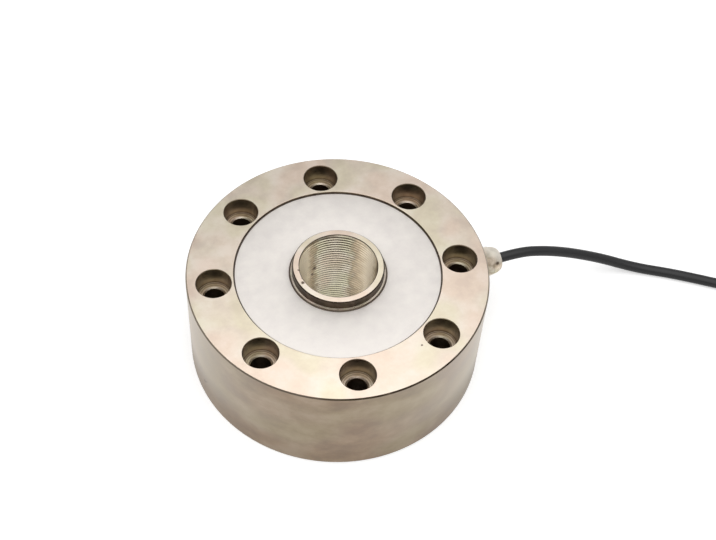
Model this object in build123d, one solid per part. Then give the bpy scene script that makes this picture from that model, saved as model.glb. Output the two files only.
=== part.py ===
from build123d import *
import os
from math import asin, cos, degrees, hypot, pi, radians, sin, sqrt, tan

os.makedirs("parts", exist_ok=True)

# Pancake load cell: a one-piece spoked steel body closed by two flat covers, with a gland and cable.
# Millimetres. The load axis is Z, the rim stands on Z = 0 and the cable leaves along +X.

# Rim
RIM_HEIGHT = 47.0
RIM_CHAMFER = 0.5

# Hub with its through thread, M33 x 1.5, drawn at the bore that is drilled before tapping
THREAD_BORE = 31.4
COLLAR_WALL = 2.8
COLLAR_RISE = 3.6
COLLAR_CHAMFER = 0.4
BORE_CHAMFER = 0.25
LIP_STEP = 0.8
LIP_RISE = 0.5
HUB_LEDGE = 2.2
HUB_LIFT = 0.5

# Spokes that carry the load from the hub to the rim, with a round pocket for each gauge
SPOKE_COUNT = 4
SPOKE_LENGTH = 18.0
SPOKE_WIDTH = 15.0
SPOKE_FILLET = 2.5
POCKET_MARGIN = 1.0
POCKET_DEPTH = 3.0

# Covers and the sealing compound in the grooves round them
COVER_LEDGE = 2.5
COVER_SINK = 0.8
COVER_THICKNESS = 1.5
COVER_GROOVE = 0.5
COVER_EDGE = 0.2
SEALANT_DEPTH = 1.2

# Mounting bolt holes through the rim
BOLT_COUNT = 8
BOLT_HOLE = 8.4
COUNTERBORE = 14.0
COUNTERBORE_DEPTH = 8.5
HOLE_CHAMFER = 0.25
SEAT_CHAMFER = 0.6
INNER_LAND = 1.0
OUTER_LAND = 4.0
PORT_WALL = 1.5

# Strain gauges on the pocket floors
GAUGE_LENGTH = 8.0
GAUGE_WIDTH = 6.0
GAUGE_THICKNESS = 0.25
GAUGE_ANGLE = 45.0
GAUGE_TAB_RISE = 2.5

# Terminal board on the tops of the two spokes beside the cable entry
BOARD_THICKNESS = 1.6
BOARD_OVERHANG_ANGLE = 5.0
BOARD_CLEARANCE = 1.5
CORE_HOLE_CLEARANCE = 0.3
CORE_HOLE_INWARDS = 2.25
JUMPER_HOLE_CLEARANCE = 0.5

# Parts soldered to the board, each with its distance from the board's edge and its angle
POST_FLANGE = 2.4
POST_FLANGE_HEIGHT = 0.5
POST_PIN = 1.4
POST_HEIGHT = 2.6
POST_EDGE = 3.5
JUMPER_POST_ANGLE = 38.0
LOOM_POST_ANGLE = 44.0
RESISTOR_LENGTH = 6.0
RESISTOR_DIAMETER = 2.2
RESISTOR_PITCH = 8.4
RESISTOR_WIRE = 0.6
OUTER_RESISTOR_EDGE = 7.0
OUTER_RESISTOR_ANGLE = 18.5
INNER_RESISTOR_EDGE = 2.5
INNER_RESISTOR_ANGLE = 24.0
FOIL_RESISTOR_SIZE = (3.2, 5.0, 0.9)
FOIL_RESISTOR_EDGE = 3.0
FOIL_RESISTOR_ANGLE = 42.0

# Loom of the gauge wires
LOOM_DIAMETER = 2.0
LOOM_CLEARANCE = 0.05
GAUGE_WIRE = 1.2
GAUGE_WIRE_CLEARANCE = 0.2
LOOM_RISER_GAP = 4.0

# Cable gland, M10 x 1, at half the height of the rim, with its spot face and washer
GLAND_THREAD = 10.0
GLAND_THREAD_CLEARANCE = 0.05
GLAND_SHANK_LENGTH = 10.0
GLAND_PORT_SPARE = 1.0
GLAND_NUT_WALL = 1.0
GLAND_FLANGE_LENGTH = 3.5
GLAND_BARREL_LENGTH = 4.5
SPOT_FACE_MARGIN = 1.3
SPOT_FACE_CUT = 0.1
WIRE_HOLE_CLEARANCE = 0.95
WASHER_WIDTH = 1.5
WASHER_THICKNESS = 1.0
NUT_GAP = 0.3
NUT_HEX_LENGTH = 4.8
NUT_DOME_LENGTH = 4.5
NUT_MOUTH_RIM = 1.1
NUT_HEX_BREAK = 0.4
GROMMET_WALL = 1.3
GROMMET_LENGTH = 4.3
CLAMP_LENGTH = 2.2
CLAMP_WALL = 1.7
CLAMP_SLOT = 0.5
CLAMP_CLAWS = 6
CABLE_CLEARANCE = 0.15

# Cable: four cores and a drain wire under a black jacket
CABLE_DIAMETER = 4.5
CABLE_INNER_REACH = 4.5
CORE_DIAMETER = 1.3
CORE_GAP = 0.05
CORE_BEND = 1.8
CORE_LIFT = 2.2
CORE_SPREAD = 1.6
WIRING_HEADROOM = 1.8

# Share of the shorter run beside a corner that its arc takes up
ARC_SHARE = 0.45

# Put-away coil of the cable, held by two ties
COIL_CENTRE = (153.7, -27.2)
COIL_MEAN_DIAMETER = 54.0
COIL_COLUMNS = 4
COIL_ROWS = 4
TURN_GAP = 0.1
COIL_ENTRY_ANGLE = -120.0
COIL_LEAVING_ANGLE = -60.0
COIL_STUB = 19.0
COIL_APPROACH = 12.5
COIL_DEPARTURE = 12.8
TOP_TURN_SINK = 0.3
TIE_WIDTH = 2.5
TIE_THICKNESS = 0.8
TIE_HEAD = (3.0, 4.2, 4.8)
TIE_HEAD_CHAMFER = 0.5
TIE_HEAD_STANDOFF = 0.2
TIE_ANGLES = (20.0, 200.0)

# Far end of the cable: a shrink sleeve and five bare leads
SLEEVE_WALL = 0.45
SLEEVE_NOSE_WALL = 0.5
SLEEVE_LENGTH = 18.0
SLEEVE_LAP = 8.0
SLEEVE_TAPER = 2.0
SLEEVE_APPROACH = 10.0
NOSE_STRAIGHT = 3.5
TAIL_HEADING = 105.0
TIP_DIAMETER = 0.7
TIP_LENGTH = 6.0

# Each core's place in the round of five inside the jacket, and the angle of its solder post
CORE_RING_ANGLES = {"red": 162.0, "black": -126.0, "white": 90.0, "green": -54.0, "drain": 18.0}
CORE_POST_ANGLES = {"red": -12.0, "black": -24.0, "white": 0.0, "green": 24.0, "drain": 12.0}

# Diameters and radii of the body, worked outwards from the thread to the rim
COLLAR_DIAMETER = THREAD_BORE + 2 * COLLAR_WALL
LIP_DIAMETER = COLLAR_DIAMETER + 2 * LIP_STEP
HUB_DIAMETER = LIP_DIAMETER + 2 * HUB_LEDGE
CAVITY_DIAMETER = HUB_DIAMETER + 2 * SPOKE_LENGTH
COVER_RECESS = CAVITY_DIAMETER + 2 * COVER_LEDGE
BOLT_CIRCLE = COVER_RECESS + 2 * INNER_LAND + COUNTERBORE
RIM_DIAMETER = BOLT_CIRCLE + COUNTERBORE + 2 * OUTER_LAND
RIM_RADIUS = RIM_DIAMETER / 2
FIRST_BOLT_ANGLE = -degrees(asin(((GLAND_THREAD + BOLT_HOLE) / 2 + PORT_WALL) / (BOLT_CIRCLE / 2)))

# Heights inside the body, worked down from the cover to the tops of the spokes
MID_HEIGHT = RIM_HEIGHT / 2
COVER_SEAT = COVER_SINK + COVER_THICKNESS
WIRE_TOP = RIM_HEIGHT - COVER_SEAT - WIRING_HEADROOM
POST_TOP = WIRE_TOP - CORE_LIFT
BOARD_TOP = POST_TOP - POST_HEIGHT
SPOKE_TOP = BOARD_TOP - BOARD_THICKNESS
SPOKE_BOTTOM = RIM_HEIGHT - SPOKE_TOP
SPOKE_HEIGHT = SPOKE_TOP - SPOKE_BOTTOM
SPOKE_MIDDLE = (HUB_DIAMETER + CAVITY_DIAMETER) / 4
SPOKE_ANGLES = [(2 * n + 1) * 180 / SPOKE_COUNT for n in range(SPOKE_COUNT)]
POCKET_DIAMETER = hypot(GAUGE_LENGTH, GAUGE_WIDTH) + 2 * POCKET_MARGIN

# The two gauged faces that look towards the cable entry, as a spoke's angle and its side
ENTRY_FACES = ((SPOKE_ANGLES[0], -1), (SPOKE_ANGLES[-1], 1))

# Board and what it carries
CORE_RING = (CORE_DIAMETER + CORE_GAP) / sin(pi / len(CORE_RING_ANGLES))
CORE_HOLE = CORE_RING * CORE_SPREAD + CORE_DIAMETER + 2 * CORE_HOLE_CLEARANCE
CORE_HOLE_RADIUS = SPOKE_MIDDLE - CORE_HOLE_INWARDS
BOARD_HALF_ANGLE = SPOKE_ANGLES[0] + BOARD_OVERHANG_ANGLE
BOARD_INNER = HUB_DIAMETER / 2 + BOARD_CLEARANCE
BOARD_OUTER = CAVITY_DIAMETER / 2 - BOARD_CLEARANCE
OUTER_POST_RADIUS = BOARD_OUTER - POST_EDGE
TRIM_RESISTORS = (
    (BOARD_OUTER - OUTER_RESISTOR_EDGE, OUTER_RESISTOR_ANGLE),
    (BOARD_INNER + INNER_RESISTOR_EDGE, INNER_RESISTOR_ANGLE),
)

# Gland, along X from its spot face to its mouth
CABLE_RADIUS = CABLE_DIAMETER / 2
GLAND_HEX = GLAND_THREAD + 2 * GLAND_NUT_WALL
WASHER_DIAMETER = GLAND_THREAD + 2 * WASHER_WIDTH
SPOT_FACE = WASHER_DIAMETER + 2 * SPOT_FACE_MARGIN
WIRE_HOLE = CABLE_DIAMETER + 2 * WIRE_HOLE_CLEARANCE
SPOT_FACE_X = sqrt(RIM_RADIUS**2 - (SPOT_FACE / 2) ** 2) - SPOT_FACE_CUT
FLANGE_X = SPOT_FACE_X + WASHER_THICKNESS
BARREL_X = FLANGE_X + GLAND_FLANGE_LENGTH
CLAMP_X = BARREL_X + GLAND_BARREL_LENGTH
NUT_X = BARREL_X + NUT_GAP
MOUTH_X = NUT_X + NUT_HEX_LENGTH + NUT_DOME_LENGTH
CABLE_INNER_X = CAVITY_DIAMETER / 2 - CABLE_INNER_REACH

# Coil and the cable's ends
TURN_PITCH = CABLE_DIAMETER + TURN_GAP
COIL_HALF_SPAN = (COIL_COLUMNS - 1) * TURN_PITCH / 2
COIL_OUTER_TURN = COIL_MEAN_DIAMETER / 2 + COIL_HALF_SPAN
COIL_TOP = TIE_THICKNESS + (COIL_ROWS - 1) * TURN_PITCH + CABLE_DIAMETER
COIL_MIDDLE = Pos(MOUTH_X + COIL_CENTRE[0], COIL_CENTRE[1], 0)
FLOOR_TURN_Z = TIE_THICKNESS + CABLE_RADIUS
TOP_TURN_Z = COIL_TOP + CABLE_RADIUS - TOP_TURN_SINK
SLEEVE_DIAMETER = CABLE_DIAMETER + 2 * SLEEVE_WALL
SLEEVE_NOSE = CORE_RING + CORE_DIAMETER + 2 * SLEEVE_NOSE_WALL
SLEEVE_Z = SLEEVE_DIAMETER / 2

# Free run of the cable from the gland's mouth to the coil, measured from the mouth in X and Y
CABLE_ROUTE = [
    (10.2, 0.0, MID_HEIGHT),
    (20.8, -0.9, 21.0),
    (31.4, -2.0, 17.0),
    (41.8, -3.6, 12.3),
    (51.6, -5.8, 7.8),
    (60.4, -9.1, 4.1),
    (68.9, -13.4, 2.25),
    (78.2, -19.0, 2.25),
    (88.2, -25.9, 2.25),
    (98.6, -33.5, 2.25),
]

# From the top of the coil down to the floor beside it, measured from the coil's middle in X and Y
TAIL_ROUTE = [
    (52.0, -3.5, 18.4),
    (55.0, 7.6, 12.6),
    (54.8, 18.9, 6.6),
    (52.2, 30.9, 3.0),
]
TAIL_END = (46.4, 51.6)

# Leads, measured from the sleeve's nose: along it, across it and up from the floor
LEAD_ROUTES = {
    "red": [(9, -2.3, 2.6), (16, -4.6, 1.1), (24, -6.2, 0.65), (35, -9.6, 0.65)],
    "black": [(10, -1.4, 1.3), (18, -2.6, 0.65), (28, -3.1, 0.65), (39, -5.0, 0.65)],
    "white": [(9, 0.1, 3.4), (16, 0.5, 2.0), (24, 1.2, 0.65), (36, 0.6, 0.65)],
    "green": [(10, 1.6, 1.3), (18, 3.3, 0.65), (27, 4.4, 0.65), (38, 7.0, 0.65)],
    "drain": [(9, 2.4, 2.6), (16, 5.2, 1.1), (23, 7.8, 0.65), (33, 12.4, 0.65)],
}


def polar(radius, angle, z=0.0):
    return Vector(radius * cos(radians(angle)), radius * sin(radians(angle)), z)


def arc_radii(points):
    """Radius at each corner: as large as its two runs allow."""
    radii = []
    for before, corner, after in zip(points, points[1:], points[2:]):
        coming, going = corner - before, after - corner
        half_turn = radians(coming.get_angle(going)) / 2
        radii.append(ARC_SHARE * min(coming.length, going.length) / tan(half_turn))
    return radii


def tube(points, diameter, name=None, bend=None):
    """Round tube along straight runs joined by tangent arcs."""
    points = [Vector(*point) for point in points]
    radii = [bend] * (len(points) - 2) if bend else arc_radii(points)
    path = FilletPolyline(*points, radius=radii)
    start = Plane(origin=points[0], z_dir=points[1] - points[0])
    solid = sweep(start * Circle(diameter / 2), path=path)
    if name:
        expected = path.length * pi * diameter**2 / 4
        print(name, "radii", [round(r, 1) for r in radii], "length", round(path.length, 1),
              "volume ratio", round(solid.volume / expected, 4))
    return solid


def disc(diameter, bottom, height):
    """Round disc on the load axis."""
    return extrude(Plane.XY.offset(bottom) * Circle(diameter / 2), height)


def ring(outer_diameter, inner_diameter, bottom, height):
    return disc(outer_diameter, bottom, height) - disc(inner_diameter, bottom, height)


def along_x(face, start, length):
    """Extrude a section of the gland along its axis, from the given X."""
    plane = Plane(origin=(start, 0, MID_HEIGHT), x_dir=(0, 1, 0), z_dir=(1, 0, 0))
    return extrude(plane * face, length)


def turned(face):
    """Revolve a face, drawn in X and radius, about the gland's axis."""
    plane = Plane((0, 0, MID_HEIGHT), x_dir=(1, 0, 0), z_dir=(0, -1, 0))
    return revolve(plane * face, axis=Axis(plane.origin, plane.x_dir))


def turned_x(outline):
    return turned(make_face(Polyline(*outline, close=True)))


# Elastic body: rim, spokes and hub machined from one billet
def body_section():
    bore, collar, lip, hub = THREAD_BORE / 2, COLLAR_DIAMETER / 2, LIP_DIAMETER / 2, HUB_DIAMETER / 2
    cavity, recess = CAVITY_DIAMETER / 2, COVER_RECESS / 2
    top_seat = RIM_HEIGHT - COVER_SEAT
    lip_top = RIM_HEIGHT - COVER_SINK + LIP_RISE
    collar_top = RIM_HEIGHT + COLLAR_RISE
    outline = [
        (bore + BORE_CHAMFER, HUB_LIFT), (lip, HUB_LIFT), (lip, COVER_SEAT), (hub, COVER_SEAT),
        (hub, SPOKE_BOTTOM), (cavity, SPOKE_BOTTOM), (cavity, COVER_SEAT), (recess, COVER_SEAT),
        (recess, 0), (RIM_RADIUS - RIM_CHAMFER, 0), (RIM_RADIUS, RIM_CHAMFER),
        (RIM_RADIUS, RIM_HEIGHT - RIM_CHAMFER), (RIM_RADIUS - RIM_CHAMFER, RIM_HEIGHT),
        (recess, RIM_HEIGHT), (recess, top_seat), (cavity, top_seat), (cavity, SPOKE_TOP),
        (hub, SPOKE_TOP), (hub, top_seat), (lip, top_seat), (lip, lip_top), (collar, lip_top),
        (collar, collar_top - COLLAR_CHAMFER), (collar - COLLAR_CHAMFER, collar_top),
        (bore + BORE_CHAMFER, collar_top), (bore, collar_top - BORE_CHAMFER),
        (bore, HUB_LIFT + BORE_CHAMFER),
    ]
    return make_face(Polyline(*outline, close=True))


def spoke_windows():
    """The openings between the spokes, with rounded corners at the spoke roots."""
    annulus = Circle(CAVITY_DIAMETER / 2) - Circle(HUB_DIAMETER / 2)
    for angle in SPOKE_ANGLES:
        annulus -= Rot(0, 0, angle) * Pos(CAVITY_DIAMETER / 2, 0) * Rectangle(CAVITY_DIAMETER, SPOKE_WIDTH)
    annulus = fillet(annulus.vertices(), SPOKE_FILLET)
    return extrude(Plane.XY.offset(SPOKE_BOTTOM) * annulus, SPOKE_HEIGHT)


def bolt_hole():
    """Counterbored hole as a solid to cut away, standing on the bolt circle."""
    hole, seat, top = BOLT_HOLE / 2, COUNTERBORE / 2, RIM_HEIGHT
    floor = top - COUNTERBORE_DEPTH
    outline = [
        (0, 0), (hole + HOLE_CHAMFER, 0), (hole, HOLE_CHAMFER), (hole, floor - SEAT_CHAMFER),
        (hole + SEAT_CHAMFER, floor), (seat, floor), (seat, top - HOLE_CHAMFER),
        (seat + HOLE_CHAMFER, top), (0, top),
    ]
    return revolve(Plane.XZ * make_face(Polyline(*outline, close=True)), axis=Axis.Z)


def on_spoke_side(angle, side, depth_from_face, z):
    """Place inside a spoke's side face, half way along it, with local Z pointing out of the face."""
    outwards = side * (SPOKE_WIDTH / 2 - depth_from_face)
    return Rot(0, 0, angle) * Pos(SPOKE_MIDDLE, outwards, z) * Rot(-90 * side, 0, 0)


def elastic_body():
    body = revolve(Plane.XZ * body_section(), axis=Axis.Z)
    body -= spoke_windows()
    hole = bolt_hole()
    for place in PolarLocations(BOLT_CIRCLE / 2, BOLT_COUNT, FIRST_BOLT_ANGLE):
        body -= place * hole
    pocket = Pos(0, 0, POCKET_DEPTH / 2) * Cylinder(POCKET_DIAMETER / 2, POCKET_DEPTH)
    for angle in SPOKE_ANGLES:
        for side in (-1, 1):
            body -= on_spoke_side(angle, side, POCKET_DEPTH, MID_HEIGHT) * pocket
    port_depth = GLAND_SHANK_LENGTH + GLAND_PORT_SPARE
    body -= along_x(Circle(SPOT_FACE / 2), SPOT_FACE_X, SPOT_FACE)
    body -= along_x(Circle(GLAND_THREAD / 2), SPOT_FACE_X - port_depth, port_depth)
    wire_hole_start = CAVITY_DIAMETER / 2 - SPOKE_FILLET
    body -= along_x(Circle(WIRE_HOLE / 2), wire_hole_start, SPOT_FACE_X - port_depth - wire_hole_start)
    return body


# Covers: two plain turned discs, one in each end of the body, on ledges of the rim and hub
def cover(bottom):
    outer, inner = COVER_RECESS - 2 * COVER_GROOVE, LIP_DIAMETER + 2 * COVER_GROOVE
    plate = ring(outer, inner, bottom, COVER_THICKNESS)
    return chamfer(plate.edges().filter_by(GeomType.CIRCLE), COVER_EDGE)


def cover_sealant(bottom):
    """Compound in the groove at the cover's outer edge and in the one round the hub."""
    outer = ring(COVER_RECESS, COVER_RECESS - 2 * COVER_GROOVE, bottom, SEALANT_DEPTH)
    inner = ring(LIP_DIAMETER + 2 * COVER_GROOVE, LIP_DIAMETER, bottom, SEALANT_DEPTH)
    return [outer, inner]


# Strain gauges: foil gauges bonded across both sides of each spoke, along its shear
def strain_gauges():
    foil = Rot(0, 0, GAUGE_ANGLE) * Box(GAUGE_WIDTH, GAUGE_LENGTH, GAUGE_THICKNESS)
    foil = Pos(0, 0, GAUGE_THICKNESS / 2) * foil
    return [on_spoke_side(angle, side, POCKET_DEPTH, MID_HEIGHT) * foil
            for angle in SPOKE_ANGLES for side in (-1, 1)]


# Terminal board: a sector of a ring, with a hole for the cable's cores and two for the jumpers
def drop_place(angle, side):
    """Plan position of the wire that runs down one side of a spoke to its gauge."""
    offset = SPOKE_WIDTH / 2 + GAUGE_WIRE / 2 + GAUGE_WIRE_CLEARANCE
    return Vector(SPOKE_MIDDLE, side * offset, 0).rotate(Axis.Z, angle)


def terminal_board():
    section = Pos((BOARD_INNER + BOARD_OUTER) / 2, SPOKE_TOP + BOARD_THICKNESS / 2) * Rectangle(
        BOARD_OUTER - BOARD_INNER, BOARD_THICKNESS)
    board = revolve(Plane.XZ * section, axis=Axis.Z, revolution_arc=2 * BOARD_HALF_ANGLE)
    board = Rot(0, 0, -BOARD_HALF_ANGLE) * board
    holes = [(Vector(CORE_HOLE_RADIUS, 0), CORE_HOLE)]
    holes += [(drop_place(angle, side), GAUGE_WIRE + 2 * JUMPER_HOLE_CLEARANCE) for angle, side in ENTRY_FACES]
    for place, diameter in holes:
        board -= Pos(place.X, place.Y) * disc(diameter, SPOKE_TOP, BOARD_THICKNESS)
    return board


def post_places():
    """Five posts for the cable, two for the jumpers and two for the loom."""
    places = [polar(OUTER_POST_RADIUS, angle) for angle in CORE_POST_ANGLES.values()]
    places += [polar(OUTER_POST_RADIUS, side * JUMPER_POST_ANGLE) for side in (-1, 1)]
    places += [polar(SPOKE_MIDDLE, side * LOOM_POST_ANGLE) for side in (-1, 1)]
    return places


def solder_posts():
    post = disc(POST_FLANGE, BOARD_TOP, POST_FLANGE_HEIGHT) + disc(POST_PIN, BOARD_TOP, POST_HEIGHT)
    return [Pos(place.X, place.Y) * post for place in post_places()]


def trim_resistors():
    """Axial resistors with their wires bent down to the board."""
    half, height = RESISTOR_PITCH / 2, RESISTOR_DIAMETER / 2 + RESISTOR_WIRE
    wire = tube([(0, -half, 0), (0, -half, height), (0, half, height), (0, half, 0)],
                RESISTOR_WIRE, bend=RESISTOR_WIRE)
    resistor = wire + Pos(0, 0, height) * Rot(90, 0, 0) * Cylinder(RESISTOR_DIAMETER / 2, RESISTOR_LENGTH)
    return [Rot(0, 0, side * angle) * Pos(radius, 0, BOARD_TOP) * resistor
            for radius, angle in TRIM_RESISTORS for side in (-1, 1)]


def foil_resistors():
    """Flat nickel and copper resistors that correct the span and zero over temperature."""
    width, length, height = FOIL_RESISTOR_SIZE
    chip = Pos(BOARD_INNER + FOIL_RESISTOR_EDGE, 0, BOARD_TOP + height / 2) * Box(width, length, height)
    chip = chamfer(chip.faces().sort_by(Axis.Z)[-1].edges(), height / 4)
    return [Rot(0, 0, side * FOIL_RESISTOR_ANGLE) * chip for side in (-1, 1)]


# Gauge wires: a laced loom round the spokes, and a jumper from each gauge beside the cable entry
def gauge_drop(angle, side, top):
    """Wire down a spoke's side face to the gauge's solder tab, as points from the bottom up."""
    tab = on_spoke_side(angle, side, POCKET_DEPTH - GAUGE_THICKNESS, MID_HEIGHT + GAUGE_TAB_RISE)
    out = drop_place(angle, side)
    return [tab.position, Vector(out.X, out.Y, tab.position.Z), Vector(out.X, out.Y, top)]


def over_to_post(post):
    return [Vector(post.X, post.Y, WIRE_TOP), Vector(post.X, post.Y, POST_TOP)]


def bridge_loom():
    loom_z = SPOKE_TOP + LOOM_DIAMETER / 2 + LOOM_CLEARANCE
    start = BOARD_HALF_ANGLE + LOOM_RISER_GAP
    section = Pos(SPOKE_MIDDLE, loom_z) * Circle(LOOM_DIAMETER / 2)
    arc = revolve(Plane.XZ * section, axis=Axis.Z, revolution_arc=360 - 2 * start)
    loom = Rot(0, 0, start) * arc
    for angle in SPOKE_ANGLES:
        for side in (-1, 1):
            if (angle, side) not in ENTRY_FACES:
                loom += tube(gauge_drop(angle, side, loom_z), GAUGE_WIRE, bend=GAUGE_WIRE)
    for side in (-1, 1):
        end = polar(SPOKE_MIDDLE, side * start, loom_z)
        corner = polar(SPOKE_MIDDLE, side * start, WIRE_TOP)
        post = polar(SPOKE_MIDDLE, side * LOOM_POST_ANGLE)
        loom += tube([end, corner] + over_to_post(post), GAUGE_WIRE, bend=GAUGE_WIRE)
    return loom


def bridge_jumpers():
    jumpers = []
    for angle, side in ENTRY_FACES:
        points = gauge_drop(angle, side, WIRE_TOP)
        points += over_to_post(polar(OUTER_POST_RADIUS, -side * JUMPER_POST_ANGLE))
        jumpers.append(tube(points, GAUGE_WIRE, bend=GAUGE_WIRE))
    return jumpers


# Cable gland: threaded body, washer, rubber grommet, split clamp and domed nut
def gland_body():
    shank = along_x(Circle(GLAND_THREAD / 2 - GLAND_THREAD_CLEARANCE), SPOT_FACE_X - GLAND_SHANK_LENGTH,
                    GLAND_SHANK_LENGTH + WASHER_THICKNESS)
    flange = along_x(RegularPolygon(GLAND_HEX / 2, 6, major_radius=False), FLANGE_X, GLAND_FLANGE_LENGTH)
    barrel = along_x(Circle(GLAND_THREAD / 2 - GLAND_THREAD_CLEARANCE), BARREL_X, GLAND_BARREL_LENGTH)
    body = shank + flange + barrel
    inner_end = SPOT_FACE_X - GLAND_SHANK_LENGTH
    body -= along_x(Circle(CABLE_RADIUS + CABLE_CLEARANCE), inner_end, CLAMP_X - inner_end)
    return body - along_x(Circle(CABLE_RADIUS + GROMMET_WALL), CLAMP_X - GROMMET_LENGTH, GROMMET_LENGTH)


def gland_washer():
    face = Circle(WASHER_DIAMETER / 2) - Circle(GLAND_THREAD / 2)
    return along_x(face, SPOT_FACE_X, WASHER_THICKNESS)


def gland_grommet():
    face = Circle(CABLE_RADIUS + GROMMET_WALL) - Circle(CABLE_RADIUS)
    return along_x(face, CLAMP_X - GROMMET_LENGTH, GROMMET_LENGTH)


def gland_clamp():
    """Split collet that the nut's cone closes on the jacket."""
    inner = CABLE_RADIUS + CABLE_CLEARANCE
    cone_x, end_x = CLAMP_X + CLAMP_LENGTH / 2, CLAMP_X + CLAMP_LENGTH
    clamp = turned_x([(CLAMP_X, inner), (CLAMP_X, inner + CLAMP_WALL), (cone_x, inner + CLAMP_WALL),
                      (end_x, inner + CLAMP_WALL / 2), (end_x, inner)])
    slot = Pos(0, inner + CLAMP_WALL / 2) * Rectangle(CLAMP_SLOT, 2 * CLAMP_WALL)
    for claw in range(CLAMP_CLAWS):
        turn = Rot(0, 0, 360 * claw / CLAMP_CLAWS)
        clamp -= along_x(turn * slot, CLAMP_X + CLAMP_LENGTH / 3, CLAMP_LENGTH)
    return clamp


def gland_nut():
    """Hexagon with turned corners and a domed end, hollow for the barrel and the clamp."""
    corner, flat, mouth = GLAND_HEX / sqrt(3), GLAND_HEX / 2, CABLE_RADIUS + CABLE_CLEARANCE
    hex_end, edge = NUT_X + NUT_HEX_LENGTH, NUT_HEX_BREAK
    nut = along_x(RegularPolygon(flat, 6, major_radius=False), NUT_X, NUT_HEX_LENGTH)
    nut &= turned_x([(NUT_X, 0), (NUT_X, corner - edge), (NUT_X + edge, corner), (hex_end - edge, corner),
                     (hex_end, corner - 2 * edge), (hex_end, 0)])
    dome = EllipticalCenterArc((0, 0), NUT_DOME_LENGTH, flat - mouth - NUT_MOUTH_RIM, arc_size=90)
    outline = [
        Line((hex_end, 0), (hex_end, flat)),
        Pos(hex_end, mouth + NUT_MOUTH_RIM) * dome,
        Line((MOUTH_X, mouth + NUT_MOUTH_RIM), (MOUTH_X, 0)),
        Line((MOUTH_X, 0), (hex_end, 0)),
    ]
    nut += turned(make_face(outline))
    thread, clamp_outer = GLAND_THREAD / 2, mouth + CLAMP_WALL
    cone_x, end_x = CLAMP_X + CLAMP_LENGTH / 2, CLAMP_X + CLAMP_LENGTH
    return nut - turned_x([(NUT_X, 0), (NUT_X, thread), (CLAMP_X, thread), (CLAMP_X, clamp_outer),
                           (cone_x, clamp_outer), (end_x, mouth + CLAMP_WALL / 2), (end_x, mouth),
                           (MOUTH_X, mouth), (MOUTH_X, 0)])


# Cable inside the body, its stripped end and the cores that go up to the board
def cable_inner_end():
    return along_x(Circle(CABLE_RADIUS), CABLE_INNER_X, MOUTH_X - CABLE_INNER_X)


def inner_core(name):
    """Core from the stripped end, up through the board's hole and over to its post."""
    place = polar(CORE_RING / 2, CORE_RING_ANGLES[name])
    spread = place * CORE_SPREAD
    level = MID_HEIGHT + place.Y
    points = [
        (CABLE_INNER_X, place.X, level),
        (CORE_HOLE_RADIUS + place.Y, place.X, level),
        (CORE_HOLE_RADIUS + spread.Y, spread.X, WIRE_TOP),
    ]
    points += over_to_post(polar(OUTER_POST_RADIUS, CORE_POST_ANGLES[name]))
    return tube(points, CORE_DIAMETER, bend=CORE_BEND)


# Cable outside: free run, coil and tail
def coil_point(angle, onward, z):
    """On the outermost turn at an angle, then moved straight on along its tangent."""
    place = polar(COIL_OUTER_TURN, angle) + polar(onward, angle + 90)
    centre = COIL_MIDDLE.position
    return Vector(centre.X + place.X, centre.Y + place.Y, z)


def cable_run():
    points = [(MOUTH_X, 0, MID_HEIGHT)]
    points += [(MOUTH_X + x, y, z) for x, y, z in CABLE_ROUTE]
    points.append(coil_point(COIL_ENTRY_ANGLE, -COIL_STUB - COIL_APPROACH, FLOOR_TURN_Z))
    points.append(coil_point(COIL_ENTRY_ANGLE, -COIL_STUB, FLOOR_TURN_Z))
    return tube(points, CABLE_DIAMETER, "cable_run")


def coil_section(spare):
    width = 2 * COIL_HALF_SPAN + CABLE_DIAMETER + 2 * spare
    height = COIL_TOP - TIE_THICKNESS + 2 * spare
    centre = (COIL_MEAN_DIAMETER / 2, (COIL_TOP + TIE_THICKNESS) / 2)
    return Pos(*centre) * RectangleRounded(width, height, CABLE_RADIUS + spare)


def coil_stub(angle, length, z):
    start, end = coil_point(angle, 0, z), coil_point(angle, length, z)
    plane = Plane(origin=start, z_dir=end - start)
    return extrude(plane * Circle(CABLE_RADIUS), abs(length))


def cable_coil():
    coil = COIL_MIDDLE * revolve(Plane.XZ * coil_section(0), axis=Axis.Z)
    top_turn = Pos(COIL_OUTER_TURN, TOP_TURN_Z) * Circle(CABLE_RADIUS)
    sweep_angle = COIL_LEAVING_ANGLE - COIL_ENTRY_ANGLE
    top_arc = revolve(Plane.XZ * top_turn, axis=Axis.Z, revolution_arc=sweep_angle)
    coil += COIL_MIDDLE * Rot(0, 0, COIL_ENTRY_ANGLE) * top_arc
    coil += coil_stub(COIL_ENTRY_ANGLE, -COIL_STUB, FLOOR_TURN_Z)
    return coil + coil_stub(COIL_LEAVING_ANGLE, COIL_STUB, TOP_TURN_Z)


def coil_ties():
    """Nylon ties round the bundle, each with its ratchet head on the outside."""
    loop = coil_section(TIE_THICKNESS) - coil_section(0)
    tie_turn = 360 * TIE_WIDTH / (pi * COIL_MEAN_DIAMETER)
    strap = Rot(0, 0, -tie_turn / 2) * revolve(Plane.XZ * loop, axis=Axis.Z, revolution_arc=tie_turn)
    depth, width, height = TIE_HEAD
    outside = COIL_OUTER_TURN + CABLE_RADIUS
    head_x = outside + TIE_HEAD_STANDOFF + depth / 2
    head = Pos(head_x, 0, (COIL_TOP + TIE_THICKNESS) / 2) * Box(depth, width, height)
    head = chamfer(head.edges().filter_by(Axis.Z), TIE_HEAD_CHAMFER)
    tie = strap + head
    return [COIL_MIDDLE * Rot(0, 0, angle) * tie for angle in TIE_ANGLES]


def tail_end_point():
    centre = COIL_MIDDLE.position
    return Vector(centre.X + TAIL_END[0], centre.Y + TAIL_END[1], SLEEVE_Z)


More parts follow.
